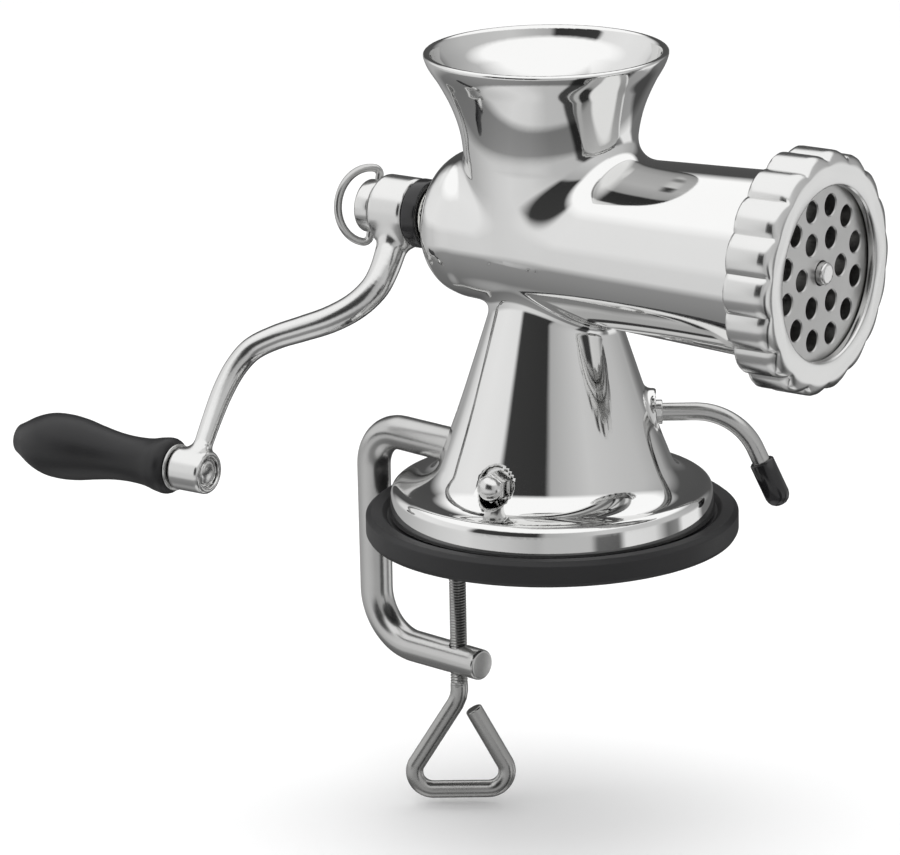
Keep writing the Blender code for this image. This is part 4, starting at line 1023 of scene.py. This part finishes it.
# %% Lock screw
SEAT_Y = -LOCK_SEAT - 0.3
SHANK_R = 2.9
lock_tip = -(lock_inner + BAR_R / math.cos(CLAMP_ANGLE) + 0.3 + SHANK_R * math.tan(-CLAMP_ANGLE))
lock = rod("lock_screw_visual", 5.2, (LOCK_X, SEAT_Y, CLAMP_Z), (LOCK_X, SEAT_Y - 5.2, CLAMP_Z), 6)
soften(lock, 0.45, 3, 20)
dome = lathe(
    "dome",
    [(0.0, 4.2), (4.4, 4.2), (4.4, 5.3), (4.1, 6.4), (3.4, 7.4), (2.4, 8.1), (1.2, 8.5), (0.0, 8.6)],
    (0, -1, 0), (LOCK_X, SEAT_Y, CLAMP_Z), 40, 60,
)
shank = rod("shank", SHANK_R, (LOCK_X, SEAT_Y - 1, CLAMP_Z), (LOCK_X, lock_tip, CLAMP_Z), 32)
combine(lock, [dome, shank], "UNION")
clean(lock, 40)
fit(lock, "housing", satin, "clamp_lock_screw")

# %% [markdown]
# ## Suction foot
# A rubber pad lies under the base, and its rim stands up round it. The lever at the back lifts the
# middle of the pad through a stem. The lever is a bent bar again, with a black cap on its tip.

# %% Pad
PAD_R, PAD_RIM, PAD_CENTRE_R = 62.5, 8.6, 15.7
pad = lathe(
    "suction_pad_visual",
    rounded([(PAD_CENTRE_R + 0.3, 0, 0.8), (PAD_R - 0.8, 0, 0.6), (PAD_R, 1.4, 0.8),
             (PAD_R, PAD_RIM - 1.3, 0.8), (PAD_R - 1.6, PAD_RIM, 1.0), (BASE_R + 2.2, PAD_RIM - 0.2, 0.8),
             (BASE_R + 0.7, BASE_Z - 0.3, 0.4), (PAD_CENTRE_R + 0.3, BASE_Z - 0.3, 0.5)], 0.8, 5),
    (0, 0, 1), (0, 0, 0), 160, 45,
)
fit(pad, "housing", rubber, "suction_pad")

# %% Suction lever
THROW_HALF, LEVER_THROW, THROW_R, LEVER_R = 5.0, 4.0, 2.2, 3.0
BEND_OUT, BEND_R, DROP, STRAIGHT, TIP_LONG, TIP_R = 48.0, 22.0, math.radians(66), 19.0, 16.0, 4.2
body_radius = float(np.interp(LEVER_Z, *pedestal_curve))
bend = lever_point(BEND_OUT, LEVER_Z - BEND_R)
course = [lever_point(THROW_HALF), lever_point(30), *bow(bend, 90, -66, BEND_R, LEVER_OUT, upward, 24)]
heading = LEVER_OUT * math.cos(DROP) - upward * math.sin(DROP)
tip_start = course[-1] + heading * (STRAIGHT - TIP_LONG + 2)
course.append(course[-1] + heading * (STRAIGHT - LEVER_R))


def lever_distance(p):
    """Signed distance from the lever: two journals, the throw between them and the bent bar."""
    out = (p - np.array(lever_point(THROW_HALF))) @ np.array(LEVER_OUT)
    main = soft_max(swept_distance(p, [tuple(c) for c in course], [LEVER_R] * len(course)), -out, 0.6)
    tail = cylinder_distance(p, lever_point(-THROW_HALF), lever_point(-28.0), LEVER_R)
    low_z = LEVER_Z - LEVER_THROW
    throw = cylinder_distance(
        p, lever_point(-THROW_HALF - 1.6, low_z), lever_point(THROW_HALF + 1.6, low_z), THROW_R, 0.4
    )
    return soft_min(np.minimum(main, tail), throw, 0.8)


lever = polish("suction_lever_visual", blank_of("suction_lever"), lever_distance, 0.5, 4)
fit(lever, "lever", bright_rod, "suction_lever")

nose = body_radius + PEDESTAL_X + 1.2
BUSH_R, BUSH_BACK = LEVER_THROW + THROW_R + 0.25, 23.0
bush = lathe(
    "lever_bush_visual",
    rounded([(3.25, BUSH_BACK), (BUSH_R, BUSH_BACK), (BUSH_R, nose - 1.5, 0.9), (LEVER_R + 1.1, nose - 1.4),
             (LEVER_R + 1.1, nose + 1.4, 0.5), (3.25, nose + 1.4, 0.3)], 0.4),
    LEVER_OUT, lever_point(0), 64,
)
fit(bush, "housing", satin, "lever_bush")
tip = lathe(
    "lever_tip_visual",
    [(3.1, 0), (TIP_R - 0.4, 0), (TIP_R, 0.4), (TIP_R, TIP_LONG - 3.2), (TIP_R - 0.3, TIP_LONG - 1.9),
     (TIP_R - 0.95, TIP_LONG - 0.75), (TIP_R - 2.0, TIP_LONG + 0.1), (TIP_R - 3.2, TIP_LONG + 0.5),
     (0.0, TIP_LONG + 0.6), (0.0, TIP_LONG - 1.7), (3.1, TIP_LONG - 1.7)],
    heading, tip_start, 64, 50,
)
fit(tip, "lever", gloss_black, "lever_tip")

# %% [markdown]
# ## Hidden pieces
# The knife, the plate's key, the rear bush, the stem and its follower, the clip and the pad's middle
# hardly show from anywhere, and the CAD's shapes are right. They only get their finishes.

# %% Finishes for the hidden pieces
for node, finish in (
    ("knife", ground), ("plate_key", bright_rod), ("rear_bush", nylon), ("pad_stem", bright_rod),
    ("cam_follower", tin), ("lever_clip", bright_rod), ("pad_centre", rubber),
):
    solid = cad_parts[node]
    solid.data.materials.clear()
    solid.data.materials.append(finish)

# %% [markdown]
# ## Floor and lights
# A white floor and large soft lights give the soft shadow. The polish needs something to mirror, though,
# and a white studio alone would make it vanish. So the mirror images come from the world: bright above,
# paler and darker walls round about, with the sharp edges that make polished metal look polished.

# %% Floor and soft lights
def plain(name, colour, roughness=0.8):
    """A material of one even colour."""
    made = bpy.data.materials.new(name)
    made.use_nodes = True
    shader = made.node_tree.nodes["Principled BSDF"]
    shader.inputs["Base Color"].default_value = (*colour, 1)
    shader.inputs["Roughness"].default_value = roughness
    return made


low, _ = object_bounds()
FLOOR_Z = low[2] - 0.002
only_none()
bpy.ops.mesh.primitive_plane_add(size=16, location=(0, 0, FLOOR_Z))
floor = bpy.context.object
floor.name = "floor"
floor.data.materials.append(plain("floor_white", (0.93, 0.93, 0.93)))
floor.visible_glossy = False
floor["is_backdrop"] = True


def softbox(name, place, target, width, height, power):
    """A soft area light that neither the camera nor the polish sees."""
    light = bpy.data.lights.new(name, "AREA")
    light.shape, light.size, light.size_y, light.energy = "RECTANGLE", width, height, power
    lamp = bpy.data.objects.new(name, light)
    scene.collection.objects.link(lamp)
    lamp.location = place
    lamp.rotation_euler = (Vector(target) - Vector(place)).to_track_quat("-Z", "Y").to_euler()
    lamp.visible_camera = False
    lamp.visible_glossy = False
    return lamp


softbox("overhead", (0.1, 0.1, 1.6), (0, 0, 0.1), 1.6, 1.6, 12)
softbox("left_front", (-1.3, -0.9, 0.8), (0, 0, 0.1), 0.9, 1.2, 5)

# %% The walls that the polish mirrors
world = bpy.data.worlds.new("studio")
scene.world = world
world.use_nodes = True
sky = world.node_tree
split = put(sky, "ShaderNodeSeparateXYZ")
sky.links.new(put(sky, "ShaderNodeTexCoord").outputs["Generated"], split.inputs[0])
calc = partial(maths, sky)
azimuths = calc("ARCTAN2", split.outputs[1], split.outputs[0])
turn_share = calc("ADD", calc("DIVIDE", azimuths, 2 * math.pi), 0.5)
rise_share = calc("ADD", calc("MULTIPLY", split.outputs[2], 0.5), 0.5)


def walls(share, stops):
    """A ramp of greys along a share from 0 to 1, as its colour output."""
    ramp = put(sky, "ShaderNodeValToRGB")
    points = ramp.color_ramp.elements
    while len(points) > 1:
        points.remove(points[-1])
    points[0].position = stops[0][0]
    points[0].color = (stops[0][1],) * 3 + (1,)
    for where, value in stops[1:]:
        points.new(where).color = (value, value, value, 1)
    sky.links.new(share, ramp.inputs[0])
    return ramp.outputs[0]


def by_azimuth(*stops):
    """Greys round about, at angles in degrees."""
    return walls(turn_share, [((degrees + 180) / 360, value) for degrees, value in stops])


def by_height(*stops):
    """Greys by height, from -1 straight down to 1 straight up."""
    return walls(rise_share, [((height + 1) / 2, value) for height, value in stops])


def blend(kind, factor, a, b):
    """A colour mix of two sockets or colours, as its output socket."""
    node = put(sky, "ShaderNodeMix", data_type="RGBA", blend_type=kind)
    for slot, value in ((0, factor), (6, a), (7, b)):
        if isinstance(value, (int, float, tuple)):
            node.inputs[slot].default_value = value
        else:
            sky.links.new(value, node.inputs[slot])
    return node.outputs[2]


wall = by_azimuth(
    (-180, 0.95), (-150, 1.0), (-119, 0.95), (-113, 0.05), (-67, 0.04), (-61, 0.50), (-20, 0.72),
    (40, 0.62), (76, 0.45), (96, 0.10), (150, 0.08), (168, 0.85), (180, 0.95),
)
below = by_azimuth(
    (-180, 0.55), (-140, 0.78), (-120, 0.85), (-90, 0.80), (-60, 0.62), (-30, 0.60), (-25, 0.06),
    (-9, 0.06), (-4, 0.95), (20, 0.85), (32, 0.20), (42, 0.30), (48, 1.0), (68, 1.0), (76, 0.20),
    (124, 0.15), (150, 0.45), (180, 0.55),
)
shade = by_height((-1, 1.0), (-0.84, 1.0), (-0.78, 0.35), (-0.52, 0.40), (-0.40, 1.0), (1, 1.0))
upper = by_height((-1, 0), (-0.14, 0), (0.02, 1), (1, 1))
ceiling = by_height((-1, 0), (0.50, 0), (0.64, 1), (1, 1))
around = blend("MIX", upper, blend("MULTIPLY", 1.0, below, shade), wall)
mirrored_walls = blend("MIX", ceiling, around, (1.25, 1.25, 1.25, 1))
ray = put(sky, "ShaderNodeLightPath")
seen = blend("MIX", ray.outputs["Is Glossy Ray"], (0.92, 0.92, 0.92, 1), mirrored_walls)
sky.links.new(seen, sky.nodes["Background"].inputs[0])
sky.nodes["Background"].inputs[1].default_value = 1.0
print("world nodes", len(sky.nodes))

# %% [markdown]
# ## Camera
# The camera looks at the mouth's side from a little above, from far away with a long lens.

# %% Camera
azimuth, elevation, roll = math.radians(33.73), math.radians(14.67), math.radians(-0.78)
DISTANCE, ASIDE, DOWNWARD, LENS = 1839.6, 32.76, 51.64, 222.2
back = Vector((
    math.sin(azimuth) * math.cos(elevation), -math.cos(azimuth) * math.cos(elevation), math.sin(elevation),
))
right = Vector((math.cos(azimuth), math.sin(azimuth), 0))
up = back.cross(right)
right, up = right * math.cos(roll) + up * math.sin(roll), up * math.cos(roll) - right * math.sin(roll)
focus = Vector((0, 0, 90))
eye = focus + back * DISTANCE
aim = focus - right * ASIDE - up * DOWNWARD
look = (aim - eye).normalized()
side = look.cross(up).normalized()
lens = bpy.data.cameras.new("camera")
lens.lens = LENS
lens.clip_end = 100
camera = bpy.data.objects.new("camera", lens)
scene.collection.objects.link(camera)
turn = Matrix((side, side.cross(look), -look)).transposed()
camera.matrix_world = Matrix.Translation(eye * MM) @ turn.to_4x4()
scene.camera = camera
scene.view_settings.view_transform = "Standard"

# %% Size and finish
new_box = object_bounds()
grown = [round((n - c) / MM, 2) for a, b in zip(cad_box, new_box) for c, n in zip(a, b)]
print("grown by, in mm:", grown)
